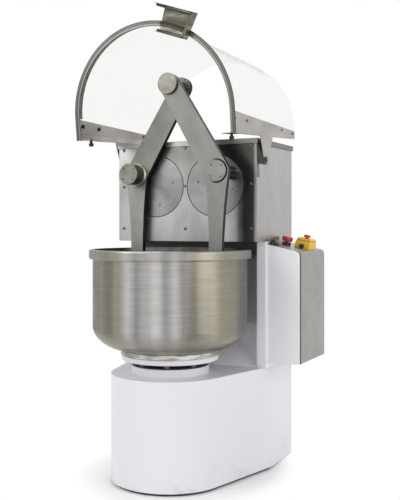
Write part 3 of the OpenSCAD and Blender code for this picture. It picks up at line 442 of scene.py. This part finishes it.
def plate_painted_reflections(graph, tone):
    """The front plate's painted reflections: darker towards its top, nearly black up its right, with a
    painted highlight on the edge there and a painted glow at its top left corner.
    """
    top_left, glow_radius, glow_core = (-0.36, 0.14, 1.42), 0.2, 0.02
    slant_z, slant, waviness = 1.343, 1.1, 0.1
    light_edge_x, light_edge_end_x = 0.33, 0.341
    cloud = graph.noise((4.0, 4.0, 2.0), detail=2.0, shift=11.0)
    height = graph.total(graph.axis("Z"), graph.product(graph.maths("SUBTRACT", cloud, 0.5), waviness))
    fade = graph.bands(height, PLATE_REFLECTION_BY_HEIGHT)
    # Painted glow at the top left corner.
    corner = graph.spread(graph.measure("DISTANCE", graph.place, top_left), glow_radius, glow_core)
    fade = graph.mix(corner, fade, tint(1.35, 1.33, 1.3))
    # Painted dark reflection up the right side, and a painted highlight on the right edge.
    above = graph.maths("MAXIMUM", graph.maths("SUBTRACT", height, slant_z), 0.0)
    side = graph.total(graph.axis("X"), graph.product(above, slant))
    dark = graph.bands(side, PLATE_REFLECTION_BY_SIDE)
    dark = graph.mix(graph.spread(graph.axis("X"), light_edge_x, light_edge_end_x), dark, grey(1.1))
    return graph.times(graph.times(tone, fade), dark)


def disc_painted_sheen(centre):
    """A turned face with a painted sheen: darker across one way and lighter the other, clouded in the middle.
    """
    light_way = (0.45, 0.0, 0.89)

    def zones(graph, tone):
        outward = graph.vector("NORMALIZE", graph.vector("MULTIPLY", graph.offset(centre), WITHOUT_Y))
        # Painted sheen: lighter where the radius runs along light_way, darker across it.
        lit = graph.maths("ABSOLUTE", graph.measure("DOT_PRODUCT", outward, light_way))
        tone = graph.vary(tone, lit, grey(0.82), grey(1.08), 0.1, 0.95)
        cloud = graph.noise((22.0, 1.0, 22.0), detail=4.0, rough=0.6, shift=4.0)
        return graph.vary(tone, cloud, tint(0.92, 0.92, 0.93), grey(1.06), 0.35, 0.65)
    return zones


COOL = (1.0, 1.0, 1.02)
WARM = (1.05, 1.0, 0.84)
BOWL_REFLECTION_BANDS = (
    (-0.99, 0.1, WARM), (-0.94, 0.2, WARM), (-0.84, 0.46, WARM), (-0.72, 0.35, WARM), (-0.61, 0.56, WARM),
    (-0.49, 0.95, COOL), (-0.37, 0.53, COOL), (-0.26, 0.78, COOL), (-0.14, 1.1, COOL), (-0.03, 0.66, COOL),
    (0.09, 1.02, COOL), (0.19, 0.56, COOL), (0.3, 0.36, WARM), (0.44, 0.66, WARM), (0.56, 0.74, WARM),
    (0.68, 0.56, WARM), (0.8, 0.51, WARM), (0.91, 0.36, COOL), (0.98, 0.24, COOL),
)


def bowl_painted_reflections(graph, tone):
    """Painted reflections on a spun and polished wall: tall bands, cool and bright left of the middle,
    warm to the right, and darker towards the foot and along the rim.
    BOWL_REFLECTION_BANDS holds (place across, brightness, tint) as the camera sees the wall."""
    foot_z, foot_end_z = 0.67, 0.62
    rim_z, rim_end_z = 0.957, 0.96
    outward = graph.vector("NORMALIZE", graph.vector("MULTIPLY", graph.place, WITHOUT_Z))
    waver = graph.maths("SUBTRACT", graph.round_noise(outward, 9.0, 0.6, detail=3.0, shift=5.3), 0.5)
    # Painted reflections: bands across the wall as the camera sees it.
    across = graph.measure("DOT_PRODUCT", outward, CAMERA_RIGHT)
    across = graph.total(across, graph.product(waver, 0.12))
    row = [(place, [level * part for part in hue]) for place, level, hue in BOWL_REFLECTION_BANDS]
    shown = graph.bands(across, row)
    wiped = graph.round_noise(outward, 2.0, 95.0, detail=5.0, shift=1.7)
    shown = graph.vary(shown, wiped, tint(0.92, 0.92, 0.89), grey(1.07))
    # Painted reflection: darker towards the foot and along the rim.
    foot = graph.spread(graph.total(graph.axis("Z"), graph.product(waver, 0.05)), foot_z, foot_end_z)
    shown = graph.mix(graph.product(foot, 0.7), shown, tint(0.62, 0.6, 0.52))
    rim = graph.spread(graph.axis("Z"), rim_z, rim_end_z)
    shown = graph.mix(graph.product(rim, 0.4), shown, tint(0.7, 0.69, 0.64))
    return graph.times(tone, shown)


def collar_tones(graph, tone):
    """The bowl's foot collar: worn and wiped, with dull patches."""
    worn = graph.noise((16.0, 16.0, 90.0), detail=4.0, rough=0.6, shift=6.0)
    return graph.vary(tone, worn, WHITE, tint(0.55, 0.54, 0.48), 0.42, 0.62)


HANDLE_LIGHT_BANDS = (
    (0.06, 1.1), (0.22, 1.5), (0.38, 1.0), (0.46, 0.55), (0.62, 0.8), (0.78, 0.6), (0.9, 0.95), (0.97, 0.45),
)


def handle_painted_light(graph, tone):
    """The folded handle's painted light and shade: dull upper panel, brighter lower panel, a painted
    highlight on the right cheek, and dark along its top edge.
    HANDLE_LIGHT_BANDS holds (share of its height, brightness)."""
    slant, blue_share = 0.28, 0.95
    patch = graph.noise((10.0, 10.0, 34.0), shift=2.0)
    tone = graph.vary(tone, patch, tint(0.6, 0.59, 0.53), tint(1.2, 1.19, 1.12), 0.42, 0.72)
    # Painted light and shade in bands up the handle.
    low, high = HANDLE_LOW[2], HANDLE_HIGH[2]
    start = low + slant * (HANDLE_LOW[0] + HANDLE_HIGH[0]) / 2
    panels = [(start + share * (high - low), (level, level, blue_share * level))
              for share, level in HANDLE_LIGHT_BANDS]
    height = graph.total(graph.axis("Z"), graph.product(graph.axis("X"), slant))
    tone = graph.times(tone, graph.bands(height, panels))
    # Painted highlight on faces that look right.
    cheek = graph.spread(graph.axis("X", graph.facing), 0.4, 0.8)
    return graph.times(tone, tint(1.7, 1.7, 1.65), cheek)


BOW_BY_RADIUS = (
    (0.3585, (0.5, 0.5, 0.5)),
    (0.3605, (1.9, 1.9, 1.88)),
    (0.3655, (1.7, 1.7, 1.68)),
    (0.368, (0.75, 0.75, 0.72)),
    (0.3745, (1.05, 1.05, 1.02)),
    (0.3775, (0.9, 0.9, 0.88)),
    (0.3788, (0.3, 0.3, 0.28)),
)


def bow_tones(graph, tone):
    """The front bow: dark outer edge, satin face, the sheet's light edge along its inside, and the
    handle's painted shadow where it crosses."""
    left_x, right_x, soft = HANDLE_LOW[0], HANDLE_CHEEK_X, 0.005
    shade_z, shade_end_z = HANDLE_LOW[2] - 0.06, HANDLE_LOW[2] - 0.03
    offset = graph.offset(BOW_CENTRE)
    across = graph.axis("X", offset)
    # Painted shadow of the handle where it crosses the bow.
    from_left = graph.spread(across, left_x, left_x + 2 * soft)
    from_right = graph.spread(across, right_x + soft, right_x - soft)
    above = graph.spread(graph.axis("Z"), shade_z, shade_end_z)
    shaded = graph.product(graph.product(from_left, from_right), above)
    tone = graph.times(tone, tint(0.3, 0.3, 0.28), shaded)
    rise = graph.maths("MAXIMUM", graph.measure("DOT_PRODUCT", offset, BOW_UP), 0.0)
    radius = graph.maths("SQRT", graph.total(graph.product(rise, rise), graph.product(across, across)))
    return graph.times(tone, graph.bands(radius, BOW_BY_RADIUS))


def lid_painted_light(graph, tone):
    """The lid: paler top; painted shade on its turned-down lip towards the right, and painted light on
    faces that look right.
    """
    fade_x, fade_end_x = -0.05, 0.12
    # Painted shade on the lip towards the right, and painted light on faces that look right.
    right = graph.spread(graph.axis("X"), fade_x, fade_end_x)
    lip = graph.spread(graph.axis("Z", graph.facing), 0.7, 0.3)
    tone = graph.times(tone, tint(0.5, 0.5, 0.49), graph.product(right, lip))
    return graph.vary(tone, graph.axis("X", graph.facing), grey(0.8), WHITE, 0.3, 0.8)


def seam_tones(end_y):
    """A sheet cover whose edge at y = end_y shows the black seal behind it."""
    sheet_start, seal_end = end_y + 0.0125, end_y + 0.0105

    def zones(graph, tone):
        seal = graph.spread(graph.axis("Y"), sheet_start, seal_end)
        return graph.mix(seal, tone, tint(0.008, 0.008, 0.009))
    return zones


# Materials of single parts


RECESS_PAINTED_SHADE_BY_HEIGHT = (
    (0.655, linear(248, 247, 252)[:3]),
    (0.665, linear(222, 221, 226)[:3]),
    (0.93, linear(226, 225, 230)[:3]),
    (0.985, linear(122, 121, 126)[:3]),
)


def recess_sheet(name):
    """The recess: painted shade on its sheet, darkest above under the head and palest on the foot panel
    below.
    """
    line_depth = 0.00002
    graph = Graph(name)
    lines = graph.noise(ALONG_Z, detail=6.0, rough=0.7)
    slow = graph.noise((5.0, 5.0, 2.0), detail=2.0, shift=3.0)
    # Painted shade, deepest under the head.
    tone = graph.bands(graph.axis("Z"), RECESS_PAINTED_SHADE_BY_HEIGHT)
    tone = graph.vary(tone, slow, grey(0.9), grey(1.08))
    tone = graph.vary(tone, lines, grey(0.93), grey(1.05))
    rough = graph.spread(lines, 0.25, 0.75, 0.4, 0.52)
    return graph.finish(tone, rough, graph.bump(lines, line_depth), Metallic=0.1)


def housing(name, colour):
    """The emergency stop's yellow housing: painted shade in the seam under its lid, and patchy darker brown
    round its foot.
    """
    edge_radius, grain_depth = 0.0018, 0.00002
    seam_top, seam_full, seam_fade, seam_bottom = 0.0035, 0.0045, 0.0068, 0.0085
    foot_dark_top, foot_dark_full = 0.034, 0.046
    graph = Graph(name)
    low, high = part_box("estop_base")
    top = Vector((low[0], low[1], high[2])).dot(Vector(BOX_UP))
    depth = graph.maths("SUBTRACT", top, graph.measure("DOT_PRODUCT", graph.place, BOX_UP))
    wave = graph.noise(90.0)
    tone = graph.between(wave, shade(colour, 0.9), shade(colour, 1.06))
    # Painted shade in the seam under the lid.
    under_lid = graph.spread(depth, seam_top, seam_full)
    seam = graph.product(under_lid, graph.spread(depth, seam_bottom, seam_fade))
    tone = graph.mix(graph.product(seam, 0.75), tone, linear(92, 58, 24))
    foot = graph.product(graph.spread(depth, foot_dark_top, foot_dark_full), graph.spread(wave, 0.35, 0.6))
    tone = graph.mix(graph.product(foot, 0.5), tone, linear(120, 84, 28))
    soft, _ = graph.edges(edge_radius)
    texture = graph.bump(graph.noise(1400.0, detail=2.0), grain_depth, soft)
    return graph.finish(tone, graph.spread(wave, 0.3, 0.7, 0.34, 0.46), texture)


def clear_sheet(name):
    """Clear plastic sheet: faint haze, wiped smears and hardly any tint."""
    graph = Graph(name)
    smear = graph.noise((3.0, 9.0, 5.0), detail=5.0, rough=0.6)
    rough = graph.spread(smear, 0.35, 0.7, 0.02, 0.09)
    colour = graph.between(smear, linear(247, 247, 246), linear(245, 245, 244))
    return graph.finish(colour, rough, Transmission_Weight=1.0, IOR=1.04)


ARM_LOOK = {"grain": (60.0, 260.0, 26.0), "roughness": 0.42, "stain": 0.14, "slow": (7.0, 7.0, 4.0)}

white = paint("white_powder_coat", linear(227, 226, 231))
# A lighter copy of the white powder coat: painted light on the column and control box.
white_painted_light = paint("white_powder_coat_painted_light", linear(243, 242, 246))
black_paint = paint("black_paint", linear(46, 46, 50), 0.5)

head_side = brushed("head_brushed", linear(176, 175, 174), ALONG_Z, stain=0.08)
lid = brushed("lid_brushed", linear(178, 177, 175), ALONG_X, 0.44, stain=0.06, zones=lid_painted_light)
plate = brushed("plate_brushed", linear(152, 151, 150), ALONG_Z, stain=0.16, slow=(7.0, 7.0, 4.0),
                zones=plate_painted_reflections)
cover = brushed("cover_brushed", linear(158, 158, 153), ALONG_Y, stain=0.08,
                zones=seam_tones(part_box("control_cover")[0][1]))
recess = recess_sheet("recess_sheet")

# The left arm's side faces get deeper painted shade than the right arm's.
arm_left = brushed("arm_left_ground", linear(131, 131, 127), **ARM_LOOK, zones=arm_tones(0.1))
arm_right = brushed("arm_right_ground", linear(131, 131, 127), **ARM_LOOK, shift=2.0,
                    zones=arm_tones(0.3, middle("elbow_bush_right")))
caps = brushed("cap_turned", linear(136, 136, 130), 300.0, 0.36, zones=cap_tones)
pin = brushed("pin_polished", linear(150, 150, 148), 420.0, 0.24, zones=pin_painted_light)

bow = brushed("bow_satin", linear(102, 101, 98), 300.0, 0.34, stain=0.12, zones=bow_tones)
guard = brushed("guard_satin", linear(172, 169, 163), ALONG_Y, 0.34, stain=0.16, slow=(6.0, 6.0, 9.0))
handle = brushed("handle_folded", linear(120, 118, 110), 300.0, 0.3, zones=handle_painted_light)
hem = brushed("handle_hem", linear(92, 90, 84), 200.0, 0.34, stain=0.2, slow=30.0)
clear = clear_sheet("clear_guard_sheet")

bowl_steel = brushed("bowl_spun", linear(184, 182, 179), 420.0, 0.3, stain=0.06, slow=(6.0, 6.0, 0.6),
                     lathe=(ORIGIN, UP), lines_depth=0.035, zones=bowl_painted_reflections)
collar = brushed("collar_worn", linear(206, 205, 200), 420.0, 0.5, lathe=(ORIGIN, UP), zones=collar_tones)

fastener = brushed("fastener_steel", linear(104, 104, 103), 500.0, 0.4)
black_steel = brushed("black_steel", linear(58, 57, 54), 500.0, 0.36)
gear_iron = brushed("gear_iron", linear(140, 140, 138), 500.0, 0.42)
bronze = brushed("bush_bronze", linear(190, 152, 96), 500.0, 0.36)
cast = coated("cast_iron_paint", linear(120, 124, 130))
motor = coated("motor_paint", linear(104, 122, 140))

black = moulded("black_moulded", linear(28, 28, 29), 0.42)
rubber = moulded("black_rubber", linear(24, 24, 24), 0.62, 0.00005)
red = moulded("red_moulded", linear(188, 36, 48), 0.3)
green = moulded("green_moulded", linear(128, 132, 82), 0.35)
yellow = housing("yellow_housing", linear(228, 180, 34))


# Which node wears which material


WORN_BY = (
    (white, "base_cabinet spindle_housing turntable_disc"),
    (white_painted_light, "column_side_left column_side_right column_rear_cover control_box"),
    (black_paint, "base_plate bowl_spindle"),
    (head_side, "head_housing head_rear_cover hinge_brackets"),
    (lid, "head_lid"),
    (plate, "front_plate"),
    (cover, "control_cover"),
    (recess, "column_recess"),
    (arm_left, "arm_left"),
    (arm_right, "arm_right elbow_cap_right"),
    (caps, "elbow_cap_left apex_pin_front apex_pin_rear"),
    (pin, "crank_pin_right crank_pin_left"),
    (bow, "guard_bow"),
    (guard, "guard_side_left guard_side_right"),
    (handle, "guard_handle"),
    (clear, "guard_hood"),
    (bowl_steel, "bowl fork_tool paddle_tool"),
    (collar, "bowl_collar"),
    (fastener, "front_plate_screws rear_cover_screws guard_screws turntable_spacers"),
    (black_steel, "hinge_pins"),
    (gear_iron, "gear_right gear_left"),
    (bronze, "elbow_bush_right elbow_bush_left"),
    (cast, "bearing_plate_front bearing_plate_rear"),
    (motor, "reducer_case drive_motor bowl_reducer bowl_motor"),
    (black, "button_bezels hinge_blocks cable_gland speed_knob"),
    (rubber, "control_gasket guard_bumpers"),
    (red, "estop_mushroom stop_button"),
    (green, "start_button"),
    (yellow, "estop_base"),
)

materials = {name: material for material, names in WORN_BY for name in names.split()}
for side in ("right", "left"):
    centre = middle("gear_" + side)
    materials["disc_" + side] = brushed("disc_turned_" + side, linear(131, 131, 130), 500.0,
                                        lathe=(centre, BACK), zones=disc_painted_sheen(centre))

for name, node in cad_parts.items():
    node.data.materials.clear()
    node.data.materials.append(materials[name])


# Small modelled pieces


def circle(centre, first, second, sides):
    """Points round a centre, from the end of the first arm towards the end of the second."""
    angles = [2 * math.pi * k / sides for k in range(sides)]
    return [centre + first * math.cos(angle) + second * math.sin(angle) for angle in angles]


def add_piece(name, rings, material, body, crease=None):
    """A closed piece through rings of points, on one of the CAD bodies.
    crease is the angle from which its edges stay sharp."""
    sides = len(rings[0])
    points = [point for ring in rings for point in ring]
    faces = []
    for start in range(0, len(points) - sides, sides):
        for k in range(sides):
            here, beside = start + k, start + (k + 1) % sides
            faces.append((here, beside, beside + sides, here + sides))
    faces.append(tuple(range(sides - 1, -1, -1)))
    faces.append(tuple(range(len(points) - sides, len(points))))
    mesh = bpy.data.meshes.new(name)
    mesh.from_pydata(points, [], faces)
    mesh.polygons.foreach_set("use_smooth", [True] * len(mesh.polygons))
    if crease:
        mesh.set_sharp_from_angle(angle=crease)
    mesh.materials.append(material)
    piece = bpy.data.objects.new(name, mesh)
    bpy.context.scene.collection.objects.link(piece)
    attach(piece, body)
    return piece


def turned(name, place, axis, profile, body, material, sides=40):
    """A turned piece from (radius, height) pairs along an axis, with heights counted from a place on it."""
    crease = math.radians(35)
    turn = Vector(UP).rotation_difference(Vector(axis))
    first, second, along = (turn @ Vector(way) for way in (RIGHT, BACK, UP))
    rings = [circle(Vector(place) + along * height, first * radius, second * radius, sides)
             for radius, height in profile]
    return add_piece(name, rings, material, body, crease)


def corners(node):
    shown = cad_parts[node]
    return [shown.matrix_world @ vertex.co for vertex in shown.data.vertices]


def top_of(node, axis):
    """Where a round piece's own axis meets its top."""
    points = corners(node)
    centre = sum(points, Vector()) / len(points)
    return centre + axis * (max(point.dot(axis) for point in points) - centre.dot(axis))


DOME_PROFILE = (
    (0.006, -0.03), (0.006, -0.0185), (0.0145, -0.0185), (0.0158, -0.017), (0.0162, -0.0145),
    (0.0152, -0.0115), (0.0125, -0.0088), (0.0085, -0.0071), (0.004, -0.0064), (0.0008, -0.0062),
)
CAP_PROFILE = (
    (0.0077, -0.05), (0.0077, -0.0276), (0.022, -0.0276), (0.0235, -0.0258), (0.0245, -0.02),
    (0.025, -0.0115), (0.0243, -0.0085), (0.0225, -0.0068), (0.016, -0.0058), (0.008, -0.0052),
    (0.001, -0.005),
)


def make_buttons():
    """The emergency stop's low red dome and the stop button's wide cap, in place of the plain CAD ones.
    Their profiles are measured from the CAD pieces' tops."""
    axis = Vector(BOX_UP)
    dome = turned("estop_dome", top_of("estop_mushroom", axis), axis, DOME_PROFILE, "estop", red)
    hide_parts("estop_mushroom")
    cap = turned("stop_cap", top_of("stop_button", axis), axis, CAP_PROFILE, "stop", red)
    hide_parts("stop_button")


NUT_PROFILE = (
    (0.0085, -0.001), (0.0085, 0.0052), (0.0062, 0.006), (0.0062, 0.0062), (0.0042, 0.0062), (0.0038, 0.0085),
)


def clusters(points, reach):
    """Points in groups, each within reach of its first one as seen from the side."""
    groups = []
    for point in points:
        near = [group for group in groups if math.hypot(point.y - group[0].y, point.z - group[0].z) < reach]
        if near:
            near[0].append(point)
        else:
            groups.append([point])
    return groups


def make_nuts():
    """Nuts inside the left guard plate, one behind each of its screws."""
    screw_reach = 0.02
    left = [point for point in corners("guard_screws") if point.x <= 0]
    for number, group in enumerate(clusters(left, screw_reach), start=1):
        inner = max(point.x for point in group)
        y = (max(point.y for point in group) + min(point.y for point in group)) / 2
        z = (max(point.z for point in group) + min(point.z for point in group)) / 2
        turned("guard_nut_%d" % number, (inner, y, z), RIGHT, NUT_PROFILE, "guard", black_steel, sides=12)


SCREW_PROFILE = (
    (0.0055, -0.001), (0.0055, 0.0012), (0.0045, 0.0024), (0.0028, 0.003), (0.002, 0.0012), (0.0006, 0.0012),
)


def make_centre_screw():
    """The small domed screw in the front plate between the two discs."""
    place = (0.0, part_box("front_plate")[0][1], middle("gear_left")[2])
    turned("plate_centre_screw", place, FRONT, SCREW_PROFILE, "frame", fastener)


def rounded(path, cut, steps=5):
    """The path with each inner corner rounded off, cut metres to each side of it."""
    points = [path[0]]
    for before, corner, after in zip(path, path[1:], path[2:]):
        start = corner + (before - corner).normalized() * cut
        end = corner + (after - corner).normalized() * cut
        for k in range(steps + 1):
            share = k / steps
            points.append(start.lerp(corner, share).lerp(corner.lerp(end, share), share))
    return points + [path[-1]]


def make_hem():
    """The rolled hem round the folded handle's open edges, along the same folds as the CAD handle's."""
    radius, sides, corner_cut = 0.0066, 16, 0.011
    width, flare, height, lip, depth = 0.133, 0.018, 0.112, 0.028, 0.04
    left_of_middle, above_centre, tilt = 0.0515, 0.33, math.radians(19.0)
    across, rise, ahead = Vector(RIGHT), Vector(BOW_UP), Vector(BOW_AHEAD)
    right = across * math.cos(tilt) - rise * math.sin(tilt)
    up = across * math.sin(tilt) + rise * math.cos(tilt)
    corner = Vector(BOW_CENTRE) - right * left_of_middle + up * above_centre + ahead * (depth - radius)
    outline = (
        (radius - lip, height - radius),
        (width + flare - radius, height - radius),
        (width - radius, radius),
        (radius, radius),
    )
    path = rounded([corner + right * x + up * z for x, z in outline], corner_cut)
    rings = []
    for before, place, after in zip(path[:1] + path, path, path[1:] + path[-1:]):
        outward = (after - before).normalized().cross(ahead).normalized()
        rings.append(circle(place, outward * radius, ahead * radius, sides))
    add_piece("handle_hem", rings, hem, "guard")


make_buttons()
make_nuts()
make_centre_screw()
make_hem()


# Floor, light and camera


def floor_material():
    """Pale floor that keeps the shadow and fades into the white background far out."""
    oval_middle, oval_squeeze = (0.0, 0.16, 0.0), (2.85, 2.35, 0.0)
    fade_start, fade_end = 0.98, 1.4
    graph = Graph("studio_floor")
    out = graph.measure("LENGTH", graph.vector("MULTIPLY", graph.offset(oval_middle), oval_squeeze))
    speck = graph.noise(40.0, detail=4.0)
    colour = graph.between(speck, linear(246, 246, 246), linear(250, 250, 250))
    lit = graph.node("ShaderNodeBsdfDiffuse", {"Color": colour})
    glow = graph.node("ShaderNodeEmission", {"Color": WHITE, "Strength": 1.0})
    share = graph.product(graph.seen(), graph.spread(out, fade_start, fade_end))
    graph.show(graph.blend(share, lit, glow))
    return graph.material


def make_floor(half=14.0):
    mesh = bpy.data.meshes.new("studio_floor")
    ends = [(-half, -half, 0.0), (half, -half, 0.0), (half, half, 0.0), (-half, half, 0.0)]
    mesh.from_pydata(ends, [], [(0, 1, 2, 3)])
    floor = bpy.data.objects.new("studio_floor", mesh)
    bpy.context.scene.collection.objects.link(floor)
    mesh.materials.append(floor_material())


def make_world(light=0.62):
    """White wherever it is seen, and a softer even light on the object."""
    world = bpy.data.worlds.new("studio")
    bpy.context.scene.world = world
    nodes = Nodes(world)
    lighting = nodes.node("ShaderNodeBackground", {"Color": WHITE, "Strength": light})
    shown = nodes.node("ShaderNodeBackground", {"Color": WHITE, "Strength": 1.0})
    nodes.show(nodes.blend(nodes.seen(), lighting, shown), "ShaderNodeOutputWorld")


def make_lamp(name, place, aim, size, watts):
    lamp = bpy.data.lights.new(name, "AREA")
    lamp.shape = "SQUARE"
    lamp.size = size
    lamp.energy = watts
    holder = bpy.data.objects.new(name, lamp)
    bpy.context.scene.collection.objects.link(holder)
    holder.location = place
    holder.rotation_euler = (Vector(aim) - Vector(place)).to_track_quat("-Z", "Y").to_euler()


def make_camera():
    """The photograph's camera, as fitted to the machine's own circles and edges.
    Picture sizes, the picture's centre and the focal length are in pixels."""
    picture_width, picture_height = 400.0, 500.0
    centre_x, centre_y = 198.91, 224.84
    focal = 836.1
    data = bpy.data.cameras.new("camera")
    data.sensor_fit = "VERTICAL"
    data.sensor_height = 36.0
    data.lens = focal / picture_height * data.sensor_height
    data.shift_x = (picture_width / 2 - centre_x) / picture_height
    data.shift_y = (centre_y - picture_height / 2) / picture_height
    data.clip_end = 60.0
    camera = bpy.data.objects.new("camera", data)
    bpy.context.scene.collection.objects.link(camera)
    camera.location = CAMERA_PLACE
    camera.rotation_euler = (math.pi / 2, 0.0, CAMERA_YAW)
    bpy.context.scene.camera = camera


make_floor()
make_world()
make_lamp("key", place=(-2.6, -4.2, 3.6), aim=(0.0, 0.1, 1.0), size=3.2, watts=110.0)
make_lamp("fill", place=(4.8, -1.6, 2.4), aim=(0.0, 0.2, 1.0), size=3.0, watts=78.0)
make_lamp("back", place=(-1.2, 3.6, 5.4), aim=(0.0, 0.2, 1.0), size=3.0, watts=80.0)
make_camera()
bpy.context.scene.view_settings.view_transform = "Standard"
